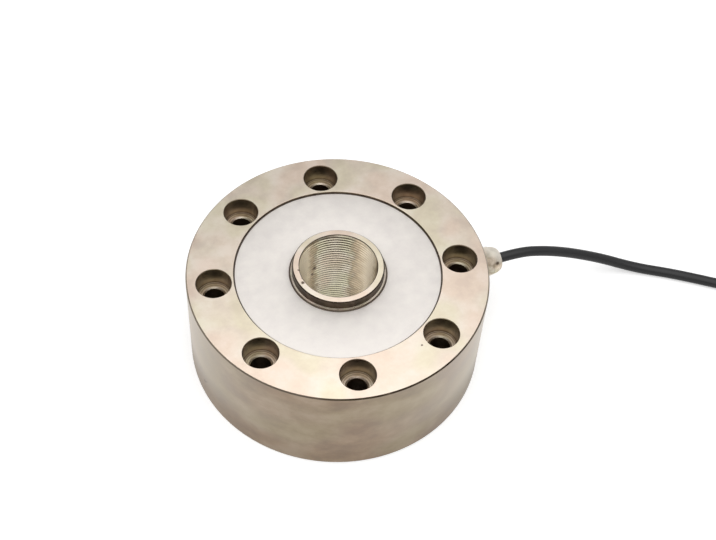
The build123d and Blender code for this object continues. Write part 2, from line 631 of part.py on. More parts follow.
def cable_tail():
    centre = COIL_MIDDLE.position
    points = [
        coil_point(COIL_LEAVING_ANGLE, COIL_STUB, TOP_TURN_Z),
        coil_point(COIL_LEAVING_ANGLE, COIL_STUB + COIL_DEPARTURE, TOP_TURN_Z),
    ]
    points += [(centre.X + x, centre.Y + y, z) for x, y, z in TAIL_ROUTE]
    points.append(tail_end_point() - polar(SLEEVE_APPROACH, TAIL_HEADING))
    points.append(tail_end_point())
    return tube(points, CABLE_DIAMETER, "cable_tail")


# Far end: shrink sleeve over the end of the jacket, then the leads with their tinned tips
def nose_point(along, across, z):
    heading = polar(1, TAIL_HEADING)
    sideways = polar(1, TAIL_HEADING - 90)
    base = tail_end_point() + heading * (SLEEVE_LAP + along) + sideways * across
    return Vector(base.X, base.Y, z)


def jacket_end():
    """Last of the jacket, inside the sleeve."""
    plane = Plane(origin=tail_end_point(), z_dir=polar(1, TAIL_HEADING))
    return extrude(plane * Circle(CABLE_RADIUS), SLEEVE_LAP)


def jacket_sleeve():
    lap, reach = SLEEVE_LAP, SLEEVE_LENGTH
    outline = [(0, CABLE_RADIUS), (0, SLEEVE_DIAMETER / 2), (lap, SLEEVE_DIAMETER / 2),
               (lap + SLEEVE_TAPER, SLEEVE_NOSE / 2), (reach, SLEEVE_NOSE / 2), (reach, 0), (lap, 0),
               (lap, CABLE_RADIUS)]
    face = make_face(Polyline(*outline, close=True))
    heading = polar(1, TAIL_HEADING)
    plane = Plane(origin=tail_end_point(), x_dir=heading, z_dir=polar(1, TAIL_HEADING - 90))
    return revolve(plane * face, axis=Axis(tail_end_point(), heading))


def lead_points(name):
    ring_place = polar(CORE_RING / 2, CORE_RING_ANGLES[name])
    nose = SLEEVE_LENGTH - SLEEVE_LAP
    height = SLEEVE_Z + ring_place.Y
    points = [nose_point(nose, ring_place.X, height), nose_point(nose + NOSE_STRAIGHT, ring_place.X, height)]
    return points + [nose_point(nose + x, y, z) for x, y, z in LEAD_ROUTES[name]]


def lead_tip(name):
    before, end = lead_points(name)[-2:]
    plane = Plane(origin=end, z_dir=end - before)
    return extrude(plane * Circle(TIP_DIAMETER / 2), TIP_LENGTH)


def save(name, *solids):
    shape = solids[0] if len(solids) == 1 else Compound(children=list(solids))
    export_step(shape, f"parts/{name}.step")


save("elastic_body", elastic_body())
save("top_cover", cover(RIM_HEIGHT - COVER_SEAT))
save("bottom_cover", cover(COVER_SINK))
save("top_cover_sealant", *cover_sealant(RIM_HEIGHT - COVER_SEAT))
save("bottom_cover_sealant", *cover_sealant(COVER_SEAT - SEALANT_DEPTH))
save("strain_gauges", *strain_gauges())
save("terminal_board", terminal_board())
save("solder_posts", *solder_posts())
save("trim_resistors", *trim_resistors())
save("foil_resistors", *foil_resistors())
save("bridge_loom", bridge_loom())
save("bridge_jumpers", *bridge_jumpers())
save("gland_body", gland_body())
save("gland_washer", gland_washer())
save("gland_grommet", gland_grommet())
save("gland_clamp", gland_clamp())
save("gland_nut", gland_nut())
save("cable_inner_end", cable_inner_end())
for core in CORE_POST_ANGLES:
    save(f"inner_{core}", inner_core(core))
save("cable_run", cable_run())
save("cable_coil", cable_coil())
save("coil_ties", *coil_ties())
save("cable_tail", cable_tail())
save("jacket_end", jacket_end())
save("jacket_sleeve", jacket_sleeve())
for core in CORE_POST_ANGLES:
    save(f"lead_{core}", tube(lead_points(core), CORE_DIAMETER, f"lead_{core}"))
save("lead_tips", *[lead_tip(core) for core in CORE_POST_ANGLES])
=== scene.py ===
import math

import bmesh
import bpy
from mathutils import Matrix, Vector


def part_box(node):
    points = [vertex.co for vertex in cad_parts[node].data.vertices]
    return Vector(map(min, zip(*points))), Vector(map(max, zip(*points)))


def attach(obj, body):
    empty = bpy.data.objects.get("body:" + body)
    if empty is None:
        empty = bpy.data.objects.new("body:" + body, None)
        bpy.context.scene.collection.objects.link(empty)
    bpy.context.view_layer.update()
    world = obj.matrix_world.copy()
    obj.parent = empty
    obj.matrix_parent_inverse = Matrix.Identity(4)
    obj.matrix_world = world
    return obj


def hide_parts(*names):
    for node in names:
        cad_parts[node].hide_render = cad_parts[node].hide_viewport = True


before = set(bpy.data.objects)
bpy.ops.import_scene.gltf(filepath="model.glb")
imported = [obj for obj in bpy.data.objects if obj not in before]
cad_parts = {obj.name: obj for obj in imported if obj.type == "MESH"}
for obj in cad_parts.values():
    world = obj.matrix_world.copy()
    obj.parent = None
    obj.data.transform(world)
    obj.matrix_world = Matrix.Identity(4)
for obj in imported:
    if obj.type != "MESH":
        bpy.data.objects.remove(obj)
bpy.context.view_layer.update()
MM = 0.001


# Elastic body: rim, four spokes and hub in one piece of alloy steel, turned and milled from a billet and then
# nickel plated all over. The rim is bolted down, the hub's thread takes the load, and the spokes bend.
RIM_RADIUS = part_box("elastic_body")[1].y
RIM_HEIGHT = 47.0 * MM
RIM_CHAMFER = 0.5 * MM
MID_HEIGHT = RIM_HEIGHT / 2
COLLAR_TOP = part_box("elastic_body")[1].z
COLLAR_RADIUS = 18.5 * MM
COLLAR_CHAMFER = 0.4 * MM
BORE_RADIUS = 15.7 * MM
BORE_CHAMFER = 0.25 * MM
LIP_RADIUS = 19.3 * MM
LIP_RISE = 0.5 * MM
HUB_RADIUS = 21.5 * MM
HUB_LIFT = 0.5 * MM
CAVITY_RADIUS = 39.5 * MM
RECESS_RADIUS = 42.0 * MM
COVER_SINK = 0.8 * MM
COVER_THICKNESS = 1.5 * MM
COVER_SEAT = COVER_SINK + COVER_THICKNESS
EDGE_BREAK = 0.12 * MM
SPOKE_ANGLES = [45, 135, 225, 315]
SPOKE_SPAN = 90
SPOKE_TOP = 36.5 * MM
SPOKE_BOTTOM = RIM_HEIGHT - SPOKE_TOP
SPOKE_WIDTH = 15.0 * MM
SPOKE_FILLET = 2.5 * MM
WINDOW_STEP = 0.05 * MM
SPOKE_MIDDLE = (HUB_RADIUS + CAVITY_RADIUS) / 2
POCKET_RADIUS = 6.0 * MM
POCKET_DEPTH = 3.0 * MM
BOLT_COUNT = 8
BOLT_CIRCLE_RADIUS = 50.0 * MM
FIRST_BOLT_ANGLE = -12.357
BOLT_HOLE_RADIUS = 4.2 * MM
COUNTERBORE_RADIUS = 7.0 * MM
COUNTERBORE_FLOOR = RIM_HEIGHT - 8.5 * MM
HOLE_LIP = 0.25 * MM
SEAT_CHAMFER = 0.6 * MM
SPOT_FACE_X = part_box("gland_washer")[0].x
SPOT_FACE_RADIUS = 7.8 * MM
PORT_RADIUS = 5.0 * MM
PORT_DEPTH = 11.0 * MM
WIRE_HOLE_RADIUS = 3.2 * MM
THREAD_PITCH = 1.5 * MM
THREAD_ROOT_RADIUS = 16.5 * MM
THREAD_RUN_OUT = 1.2 * MM
BODY_COLUMNS = 192
HOLE_COLUMNS = 64
CREASE = 35
WELD_GAP = 0.0001 * MM


def mesh_piece(name, points, faces, crease=CREASE):
    """A mesh from points in metres, smooth except where two faces meet at more than the crease angle."""
    mesh = bpy.data.meshes.new(name)
    mesh.from_pydata([tuple(point) for point in points], [], faces)
    tidy = bmesh.new()
    tidy.from_mesh(mesh)
    bmesh.ops.remove_doubles(tidy, verts=tidy.verts, dist=WELD_GAP)
    bare_edges = [edge for edge in tidy.edges if not edge.link_faces]
    bmesh.ops.delete(tidy, geom=bare_edges, context="EDGES")
    bmesh.ops.recalc_face_normals(tidy, faces=tidy.faces)
    tidy.to_mesh(mesh)
    tidy.free()
    piece = bpy.data.objects.new(name, mesh)
    bpy.context.scene.collection.objects.link(piece)
    shade(piece, crease)
    return piece


def shade(piece, crease=CREASE):
    piece.data.shade_smooth()
    piece.data.set_sharp_from_angle(angle=math.radians(crease))


def joined(*solids):
    """Points and faces of several solids in one list."""
    points, faces = [], []
    for more_points, more_faces in solids:
        start = len(points)
        points += more_points
        faces += [tuple(start + index for index in face) for face in more_faces]
    return points, faces


def polar(radius, angle, z=0.0):
    return Vector((radius * math.cos(math.radians(angle)), radius * math.sin(math.radians(angle)), z))


def facing(direction, place):
    """Turns Z to a direction and moves the origin to a place."""
    return Matrix.Translation(place) @ Vector(direction).to_track_quat("Z", "Y").to_matrix().to_4x4()


def rounded(outline, steps=3):
    """An outline from corners (u, v, radius): the ones with a radius become arcs."""
    points = []
    for before, corner, after in zip(outline[-1:] + outline[:-1], outline, outline[1:] + outline[:1]):
        place = Vector(corner[:2])
        if len(corner) < 3:
            points.append(place)
            continue
        coming = (Vector(before[:2]) - place).normalized()
        going = (Vector(after[:2]) - place).normalized()
        half = coming.angle(going) / 2
        reach = corner[2] / math.tan(half)
        centre = place + (coming + going).normalized() * (corner[2] / math.sin(half))
        first, last = place + coming * reach - centre, place + going * reach - centre
        turn = first.angle_signed(last)
        for step in range(steps + 1):
            arm = first.copy()
            arm.rotate(Matrix.Rotation(-turn * step / steps, 2))
            points.append(centre + arm)
    return points


def turned(outline, columns, place=Matrix.Identity(4)):
    """Points and faces of a closed outline (radius, height) turned about Z, then put in place."""
    points, faces = [], []
    rows = len(outline)
    for column in range(columns):
        points += [place @ polar(radius, 360 * column / columns, height) for radius, height in outline]
        here, there = column * rows, (column + 1) % columns * rows
        for row in range(rows):
            ahead = (row + 1) % rows
            faces.append((here + row, there + row, there + ahead, here + ahead))
    return points, faces


def prism(section, low, high, place=Matrix.Identity(4)):
    """Points and faces of a flat section, a list of (x, y), carried from one height to another."""
    count = len(section)
    points = [place @ Vector((*corner, z)) for z in (low, high) for corner in section]
    faces = [tuple(reversed(range(count))), tuple(range(count, 2 * count))]
    faces += [(n, (n + 1) % count, (n + 1) % count + count, n + count) for n in range(count)]
    return points, faces


def body_outline():
    """Half section of the body without its bore wall, from the bottom of the bore round to its top."""
    top_seat, recess, rim = RIM_HEIGHT - COVER_SEAT, RECESS_RADIUS, RIM_RADIUS
    lip_top = RIM_HEIGHT - COVER_SINK + LIP_RISE
    return rounded([
        (BORE_RADIUS + BORE_CHAMFER, HUB_LIFT),
        (LIP_RADIUS, HUB_LIFT, EDGE_BREAK), (LIP_RADIUS, COVER_SEAT),
        (HUB_RADIUS, COVER_SEAT), (HUB_RADIUS, SPOKE_BOTTOM), (CAVITY_RADIUS, SPOKE_BOTTOM),
        (CAVITY_RADIUS, COVER_SEAT), (recess, COVER_SEAT), (recess, 0, EDGE_BREAK),
        (rim - RIM_CHAMFER, 0, EDGE_BREAK), (rim, RIM_CHAMFER, EDGE_BREAK),
        (rim, RIM_HEIGHT - RIM_CHAMFER, EDGE_BREAK), (rim - RIM_CHAMFER, RIM_HEIGHT, EDGE_BREAK),
        (recess, RIM_HEIGHT, EDGE_BREAK), (recess, top_seat), (CAVITY_RADIUS, top_seat),
        (CAVITY_RADIUS, SPOKE_TOP), (HUB_RADIUS, SPOKE_TOP), (HUB_RADIUS, top_seat),
        (LIP_RADIUS, top_seat), (LIP_RADIUS, lip_top, EDGE_BREAK), (COLLAR_RADIUS, lip_top, EDGE_BREAK),
        (COLLAR_RADIUS, COLLAR_TOP - COLLAR_CHAMFER, EDGE_BREAK),
        (COLLAR_RADIUS - COLLAR_CHAMFER, COLLAR_TOP, EDGE_BREAK),
        (BORE_RADIUS + BORE_CHAMFER, COLLAR_TOP),
    ])


def bolt_hole_outline():
    """Half section of a counterbored hole, past both faces, with its drilled and countersunk edges."""
    hole, seat, floor, top = BOLT_HOLE_RADIUS, COUNTERBORE_RADIUS, COUNTERBORE_FLOOR, RIM_HEIGHT
    past = 2 * HOLE_LIP
    return rounded([
        (0, -past), (hole + HOLE_LIP + past, -past), (hole, HOLE_LIP, 2 * EDGE_BREAK),
        (hole, floor - SEAT_CHAMFER, EDGE_BREAK), (hole + SEAT_CHAMFER, floor, EDGE_BREAK),
        (seat, floor, 2 * EDGE_BREAK), (seat, top - HOLE_LIP, 2 * EDGE_BREAK),
        (seat + HOLE_LIP + past, top + past), (0, top + past),
    ])


def window_section(angle, arc_steps=24, trim=3):
    """Opening between two spokes, with its corners rounded at the spoke roots. The mill leaves its walls a
    hair deeper than the turned ones above and below them."""
    corners = []
    for radius, order in ((CAVITY_RADIUS + WINDOW_STEP, 1), (HUB_RADIUS - WINDOW_STEP, -1)):
        inset = math.degrees(math.asin(SPOKE_WIDTH / 2 / radius))
        steps = [inset + (SPOKE_SPAN - 2 * inset) * n / arc_steps for n in range(arc_steps + 1)][::order]
        arc = [tuple(polar(radius, angle + step).xy) for step in steps]
        corners += [(*arc[0], SPOKE_FILLET)] + arc[trim:-trim] + [(*arc[-1], SPOKE_FILLET)]
    return rounded(corners, steps=6)


def port_outline():
    """Half section of the gland's port: the wire hole, the threaded port and the spot face round it."""
    start = CAVITY_RADIUS - SPOKE_FILLET
    port, face, past = SPOT_FACE_X - PORT_DEPTH - start, SPOT_FACE_X - start, RIM_RADIUS + MM - start
    return rounded([
        (0, 0), (WIRE_HOLE_RADIUS, 0), (WIRE_HOLE_RADIUS, port), (PORT_RADIUS, port), (PORT_RADIUS, face),
        (SPOT_FACE_RADIUS, face, EDGE_BREAK), (SPOT_FACE_RADIUS, past), (0, past),
    ])


def carve(piece, solids, operation="DIFFERENCE"):
    """Cuts closed solids out of a piece, or keeps only what lies inside them."""
    cutters = [mesh_piece(f"cutter_{number}", *solid) for number, solid in enumerate(solids)]
    group = bpy.data.collections.new("cutters")
    for cutter in cutters:
        group.objects.link(cutter)
    cut = piece.modifiers.new("cut", "BOOLEAN")
    cut.operation = operation
    cut.solver = "EXACT"
    cut.operand_type = "COLLECTION"
    cut.collection = group
    made = bpy.data.meshes.new_from_object(piece.evaluated_get(bpy.context.evaluated_depsgraph_get()))
    piece.modifiers.clear()
    piece.data = made
    for cutter in cutters:
        bpy.data.objects.remove(cutter)
    bpy.data.collections.remove(group)


def even_shading(piece):
    """Lets the large flat faces set the shading of the small ones at their edges."""
    weigh = piece.modifiers.new("weighted normals", "WEIGHTED_NORMAL")
    weigh.keep_sharp = True


def thread_wall(low, high):
    """Points and faces of the bore's wall: a right-handed metric thread, which runs out at both heights."""
    crest_half, root_half = THREAD_PITCH / 8, THREAD_PITCH / 16
    breaks = [(-crest_half, 0), (crest_half, 0),
              (THREAD_PITCH / 2 - root_half, 1), (THREAD_PITCH / 2 + root_half, 1)]
    rows = len(breaks) * (int((high - low) / THREAD_PITCH) + 3)
    points, faces = [], []
    for column in range(BODY_COLUMNS + 1):
        way = column / BODY_COLUMNS
        for row in range(rows):
            turn, kind = divmod(row, len(breaks))
            offset, is_root = breaks[kind]
            height = low + THREAD_PITCH * (turn - 1 + way) + offset
            level = min(max(height, low), high)
            depth = min(1, (level - low) / THREAD_RUN_OUT, (high - level) / THREAD_RUN_OUT) * is_root
            points.append(polar(BORE_RADIUS + (THREAD_ROOT_RADIUS - BORE_RADIUS) * depth, 360 * way, level))
    for column in range(BODY_COLUMNS):
        here, there = column * rows, (column + 1) * rows
        faces += [(here + row, there + row, there + row + 1, here + row + 1) for row in range(rows - 1)]
        angles = (360 * column / BODY_COLUMNS, 360 * (column + 1) / BODY_COLUMNS)
        for level, edge in ((low, low - BORE_CHAMFER), (high, high + BORE_CHAMFER)):
            start = len(points)
            points += [polar(BORE_RADIUS, angle, level) for angle in angles]
            points += [polar(BORE_RADIUS + BORE_CHAMFER, angle, edge) for angle in reversed(angles)]
            faces.append(tuple(range(start, start + 4)))
    return points, faces


def hole_centre(number):
    return polar(BOLT_CIRCLE_RADIUS, FIRST_BOLT_ANGLE + 360 * number / BOLT_COUNT)


def pocket_place(angle, side):
    """The middle of a gauge pocket's floor, in one side of a spoke, with Z straight out of it."""
    outwards = polar(1, angle + 90 * side)
    floor = polar(SPOKE_MIDDLE, angle, MID_HEIGHT) + outwards * (SPOKE_WIDTH / 2 - POCKET_DEPTH)
    return facing(outwards, floor)


def elastic_body():
    """The turned blank with its bolt holes, the windows between its spokes, its port and pockets, and then
    the thread in the place of the plain bore."""
    body = mesh_piece("elastic_body_plated", *turned(body_outline(), BODY_COLUMNS))
    centres = [Matrix.Translation(hole_centre(number)) for number in range(BOLT_COUNT)]
    carve(body, [turned(bolt_hole_outline(), HOLE_COLUMNS, centre) for centre in centres])
    carve(body, [prism(window_section(angle), SPOKE_BOTTOM - MM, SPOKE_TOP + MM) for angle in SPOKE_ANGLES])
    port_start = facing((1, 0, 0), (CAVITY_RADIUS - SPOKE_FILLET, 0, MID_HEIGHT))
    pocket = [(0, 0), (POCKET_RADIUS, 0), (POCKET_RADIUS, POCKET_DEPTH + MM), (0, POCKET_DEPTH + MM)]
    pockets = [turned(pocket, HOLE_COLUMNS, pocket_place(angle, side))
               for angle in SPOKE_ANGLES for side in (-1, 1)]
    carve(body, [turned(port_outline(), HOLE_COLUMNS, port_start), *pockets])

    work = bmesh.new()
    work.from_mesh(body.data)
    reach = BORE_RADIUS + BORE_CHAMFER + EDGE_BREAK
    wall = [face for face in work.faces if all(vert.co.xy.length < reach for vert in face.verts)]
    bmesh.ops.delete(work, geom=wall, context="FACES")
    points, faces = thread_wall(HUB_LIFT + BORE_CHAMFER, COLLAR_TOP - BORE_CHAMFER)
    verts = [work.verts.new(point) for point in points]
    for face in faces:
        work.faces.new([verts[index] for index in face])
    bmesh.ops.remove_doubles(work, verts=work.verts, dist=2 * WELD_GAP)
    bmesh.ops.dissolve_degenerate(work, edges=work.edges, dist=WELD_GAP)
    bmesh.ops.recalc_face_normals(work, faces=work.faces)
    work.to_mesh(body.data)
    work.free()
    shade(body)
    even_shading(body)
    return body


def to_linear(hex_colour):
    """sRGB hex to the linear colour that a shader takes."""
    values = [int(hex_colour[start:start + 2], 16) / 255 for start in (1, 3, 5)]
    return (*[v / 12.92 if v <= 0.04045 else ((v + 0.055) / 1.055) ** 2.4 for v in values], 1.0)


def add_node(tree, kind, inputs=None, settings=None, stops=()):
    """One node with its settings, its colour stops and its inputs, each a value or another node's output."""
    node = tree.nodes.new("ShaderNode" + kind)
    for name, value in (settings or {}).items():
        setattr(node, name, value)
    for number, (place, colour) in enumerate(stops):
        elements = node.color_ramp.elements
        element = elements[number] if number < 2 else elements.new(place)
        element.position, element.color = place, to_linear(colour)
    for name, value in (inputs or {}).items():
        if isinstance(value, bpy.types.Node):
            value = value.outputs[0]
        if isinstance(value, bpy.types.NodeSocket):
            tree.links.new(value, node.inputs[name])
        else:
            node.inputs[name].default_value = value
    return node


def new_material(name):
    """A material with its nodes cleared, its tree, and the place of each point of the piece in metres."""
    material = bpy.data.materials.new(name)
    material.use_nodes = True
    tree = material.node_tree
    tree.nodes.clear()
    return material, tree, add_node(tree, "TexCoord").outputs["Object"]


MULTIPLIED = {"data_type": "RGBA", "blend_type": "MULTIPLY"}
LAID_OVER = {"data_type": "RGBA"}
MIX_RESULT = 2
PINK_CAST = "#FFF7F3"
NO_CAST = "#FFFDFA"
GREEN_CAST = "#FAFBF0"
NICK_TONE = "#6B5D50"
CAST_SCALE = 0.45
RAGGED_SCALE = 0.6
SATIN_GRAIN = 0.4 * MM
SATIN_RELIEF = 0.02 * MM
CLOUD_DETAIL = {"Detail": 6.0, "Roughness": 0.6}


def nickel_plate(name, tones, patch, dullness, marks=(), stretch=(1, 1, 1), film=None):
    """Nickel plate: a warm satin white metal with soft clouds, which drift from a pinkish to a greenish cast.
    The tones go from its dark clouds to its light ones, and the dullness from its smooth clouds to its matt
    ones. The real satin is too fine to show, so its grain is drawn coarser. A film is a factor from 0 to 1
    with the tone that it lays over the plate, and with how much of the shine it takes off."""
    material, tree, place = new_material(name)
    stretched = add_node(tree, "Mapping", {"Vector": place, "Scale": stretch})
    cloud = add_node(tree, "TexNoise", {"Vector": stretched, "Scale": 1 / patch, **CLOUD_DETAIL})
    drift = add_node(tree, "TexNoise", {"Vector": stretched, "Scale": CAST_SCALE / patch, "Detail": 1.0})
    fine = add_node(tree, "TexNoise", {"Vector": place, "Scale": 1 / SATIN_GRAIN})
    dark, middle, light = tones
    colour = add_node(tree, "ValToRGB", {"Fac": cloud}, stops=[(0.36, dark), (0.64, light), (0.5, middle)])
    casts = [(0.4, PINK_CAST), (0.6, GREEN_CAST), (0.5, NO_CAST)]
    cast = add_node(tree, "ValToRGB", {"Fac": drift}, stops=casts)
    colour = add_node(tree, "Mix", {0: 1.0, 6: colour, 7: cast}, MULTIPLIED).outputs[MIX_RESULT]
    dull = add_node(tree, "MapRange", {"Value": cloud, "From Min": 0.3, "From Max": 0.7,
                                       "To Min": dullness[0], "To Max": dullness[1]})
    if film:
        factor, tone, haze = film(tree, place)
        colour = add_node(tree, "Mix", {0: factor, 6: colour, 7: tone}, LAID_OVER).outputs[MIX_RESULT]
        dull = add_node(tree, "Math", {0: factor, 1: haze / 2, 2: dull}, {"operation": "MULTIPLY_ADD"})
        bare = add_node(tree, "Math", {0: factor, 1: -haze, 2: 1.0}, {"operation": "MULTIPLY_ADD"})
    else:
        bare = 1.0
    ragged = add_node(tree, "TexNoise", {"Vector": place, "Scale": RAGGED_SCALE / SATIN_GRAIN})
    for centre, radius in marks:
        away = add_node(tree, "VectorMath", {0: place, 1: centre}, {"operation": "DISTANCE"}).outputs["Value"]
        edge = add_node(tree, "Math", {0: ragged, 1: -radius, 2: away}, {"operation": "MULTIPLY_ADD"})
        inside = add_node(tree, "MapRange", {"Value": edge, "From Min": 0.1 * radius,
                                             "From Max": 0.8 * radius, "To Min": 1.0, "To Max": 0.0})
        colour = add_node(tree, "Mix", {0: inside, 6: colour, 7: to_linear(NICK_TONE)}, LAID_OVER)
        colour = colour.outputs[MIX_RESULT]
    satin = add_node(tree, "Bump", {"Strength": 0.15, "Distance": SATIN_RELIEF, "Height": fine})
    shader = add_node(tree, "BsdfPrincipled", {"Base Color": colour, "Metallic": bare, "Roughness": dull,
                                               "Normal": satin})
    add_node(tree, "OutputMaterial", {"Surface": shader})
    return material


SEAT_RING_PITCH = 0.9 * MM
SEAT_RING_TONE = "#8F7E6A"
SEAT_RING_DEPTH = 0.55
# Painted shade in the outer corner of each screw seat.
CORNER_SHADE_WIDTH = 0.9 * MM
SEAT_MARK_HAZE = 0.1
# Painted light and shade round the bore's thread.
BORE_SHINE_ANGLE = 75
BORE_SHINE_HALF = 23
BORE_FILM_EDGE = 9
BORE_LIGHT_TONES = [(-16, "#7E6C55"), (140, "#FFF1D4"), (-4, "#D9C6A8"), (4, "#FFF1D8"), (22, "#FFF1D8"),
                (34, "#EAD8BA"), (46, "#BFAD91"), (103, "#AE9C80"), (112, "#CDBB9C"), (120, "#FFF1D4")]
BORE_PAINT_HAZE = 0.3
WAVER_PATCH = 3 * MM
WAVER_ANGLE = math.radians(12)
# Painted sheen on the turned side, and painted shade at its foot.
PAINTED_SHEEN_TONE = "#DDD5C9"
PAINTED_SHEEN_FROM = 0.45
PAINTED_SHEEN_DEPTH = 0.55
SHADED_FOOT_HEIGHT = 20 * MM
FOOT_SHADE_TONE = "#7F7260"
FOOT_SHADE_DEPTH = 0.15
# Rim's chamfer: painted shade round one side, painted light round the others.
PAINTED_EDGE_LIGHT_TONE = "#A59888"
EDGE_SHADE_ANGLE = -90
EDGE_SHADE_HALF = 20
EDGE_SHADE_FADE = 45


def facing_rings(tree, place):
    """Fine rings that the counterboring tool leaves on the screw's seat, and painted shade in its outer
    corner.
    """
    reach = add_node(tree, "Attribute", None, {"attribute_name": "hole_reach"}).outputs["Fac"]
    turns = add_node(tree, "Math", {0: reach, 1: 2 * math.pi / SEAT_RING_PITCH}, {"operation": "MULTIPLY"})
    wave = add_node(tree, "Math", {0: turns}, {"operation": "SINE"})
    ring = add_node(tree, "MapRange", {"Value": wave, "From Min": -0.2, "From Max": 0.8,
                                       "To Max": SEAT_RING_DEPTH})
    corner_shade = add_node(tree, "MapRange", {"Value": reach, "From Min": COUNTERBORE_RADIUS - CORNER_SHADE_WIDTH,
                                      "From Max": COUNTERBORE_RADIUS})
    both = add_node(tree, "Math", {0: ring, 1: corner_shade}, {"operation": "ADD", "use_clamp": True})
    return both, to_linear(SEAT_RING_TONE), SEAT_MARK_HAZE


def angle_round(tree, place):
    """The angle of a place round the load axis, in radians from the X axis. It wavers a little, so that the
    painted light and shade laid by it end raggedly."""
    parts = add_node(tree, "SeparateXYZ", {"Vector": place}).outputs
    angle = add_node(tree, "Math", {0: parts["Y"], 1: parts["X"]}, {"operation": "ARCTAN2"})
    patches = add_node(tree, "TexNoise", {"Vector": place, "Scale": 1 / WAVER_PATCH})
    waver = add_node(tree, "MapRange", {"Value": patches, "To Min": -WAVER_ANGLE, "To Max": WAVER_ANGLE})
    return add_node(tree, "Math", {0: angle, 1: waver}, {"operation": "ADD"})


def away_from(tree, place, middle, half, fade):
    """Factor that is 0 within half an angle of a direction round the load axis, and 1 past its fade."""
    angle = angle_round(tree, place)
    off = add_node(tree, "Math", {0: angle, 1: math.radians(middle)}, {"operation": "SUBTRACT"})
    away = add_node(tree, "Math", {0: off}, {"operation": "ABSOLUTE"})
    return add_node(tree, "MapRange", {"Value": away, "From Min": math.radians(half),
                                       "From Max": math.radians(half + fade)})


def painted_bore_light(tree, place):
    """Painted light and shade round the bore. The thread is left bare about one direction; round the rest it
    takes painted tones, brown in painted shade and pale in painted light, and it is duller there."""
    angle = angle_round(tree, place)
    turn = add_node(tree, "MapRange", {"Value": angle, "From Min": -math.pi, "From Max": math.pi})
    stops = [(0.5 + at / 360, tone) for at, tone in BORE_LIGHT_TONES]
    painted_tones = add_node(tree, "ValToRGB", {"Fac": turn}, stops=stops)
    return away_from(tree, place, BORE_SHINE_ANGLE, BORE_SHINE_HALF, BORE_FILM_EDGE), painted_tones, BORE_PAINT_HAZE


def painted_side_sheen(tree, place):
    """The turned side is painted paler where the eye glances along it: a painted sheen. It is painted darker
    towards its bottom edge: painted shade at its foot."""
    facing_away = add_node(tree, "LayerWeight").outputs["Facing"]
    pale = add_node(tree, "MapRange", {"Value": facing_away, "From Min": PAINTED_SHEEN_FROM, "To Max": PAINTED_SHEEN_DEPTH})
    height = add_node(tree, "SeparateXYZ", {"Vector": place}).outputs["Z"]
    foot = add_node(tree, "MapRange", {"Value": height, "From Min": SHADED_FOOT_HEIGHT, "From Max": SHADED_FOOT_HEIGHT / 3})
    tone = add_node(tree, "Mix", {0: foot, 6: to_linear(PAINTED_SHEEN_TONE), 7: to_linear(FOOT_SHADE_TONE)}, LAID_OVER)
    foot_shade = add_node(tree, "Math", {0: foot, 1: FOOT_SHADE_DEPTH}, {"operation": "MULTIPLY"})
    laid = add_node(tree, "Math", {0: pale, 1: foot_shade}, {"operation": "MAXIMUM"})
    return laid, tone.outputs[MIX_RESULT], 0.0


def painted_edge_light(tree, place):
    """The rim's chamfer is painted dark, painted shade, round one side, and painted lighter round the others.
    """
    painted_light_factor = away_from(tree, place, EDGE_SHADE_ANGLE, EDGE_SHADE_HALF, EDGE_SHADE_FADE)
    return painted_light_factor, to_linear(PAINTED_EDGE_LIGHT_TONE), 0.0


def nick(x, y, z, radius):
    return Vector((x, y, z)) * MM, radius * MM


TOP_NICKS = [nick(17.5, -44.6, 47.0, 0.4), nick(-15.6, -1.2, 50.6, 0.5), nick(-16.4, -3.4, 50.6, 0.7),
             nick(-15.9, 3.1, 50.6, 0.4)]
SIDE_NICKS = [nick(-60.4, -8.8, 10.5, 0.8), nick(-60.2, -10.4, 12.0, 0.5)]
BORE_NICKS = [nick(-4.4, 15.6, 32.0, 1.1), nick(-5.4, 15.3, 28.5, 0.7)]

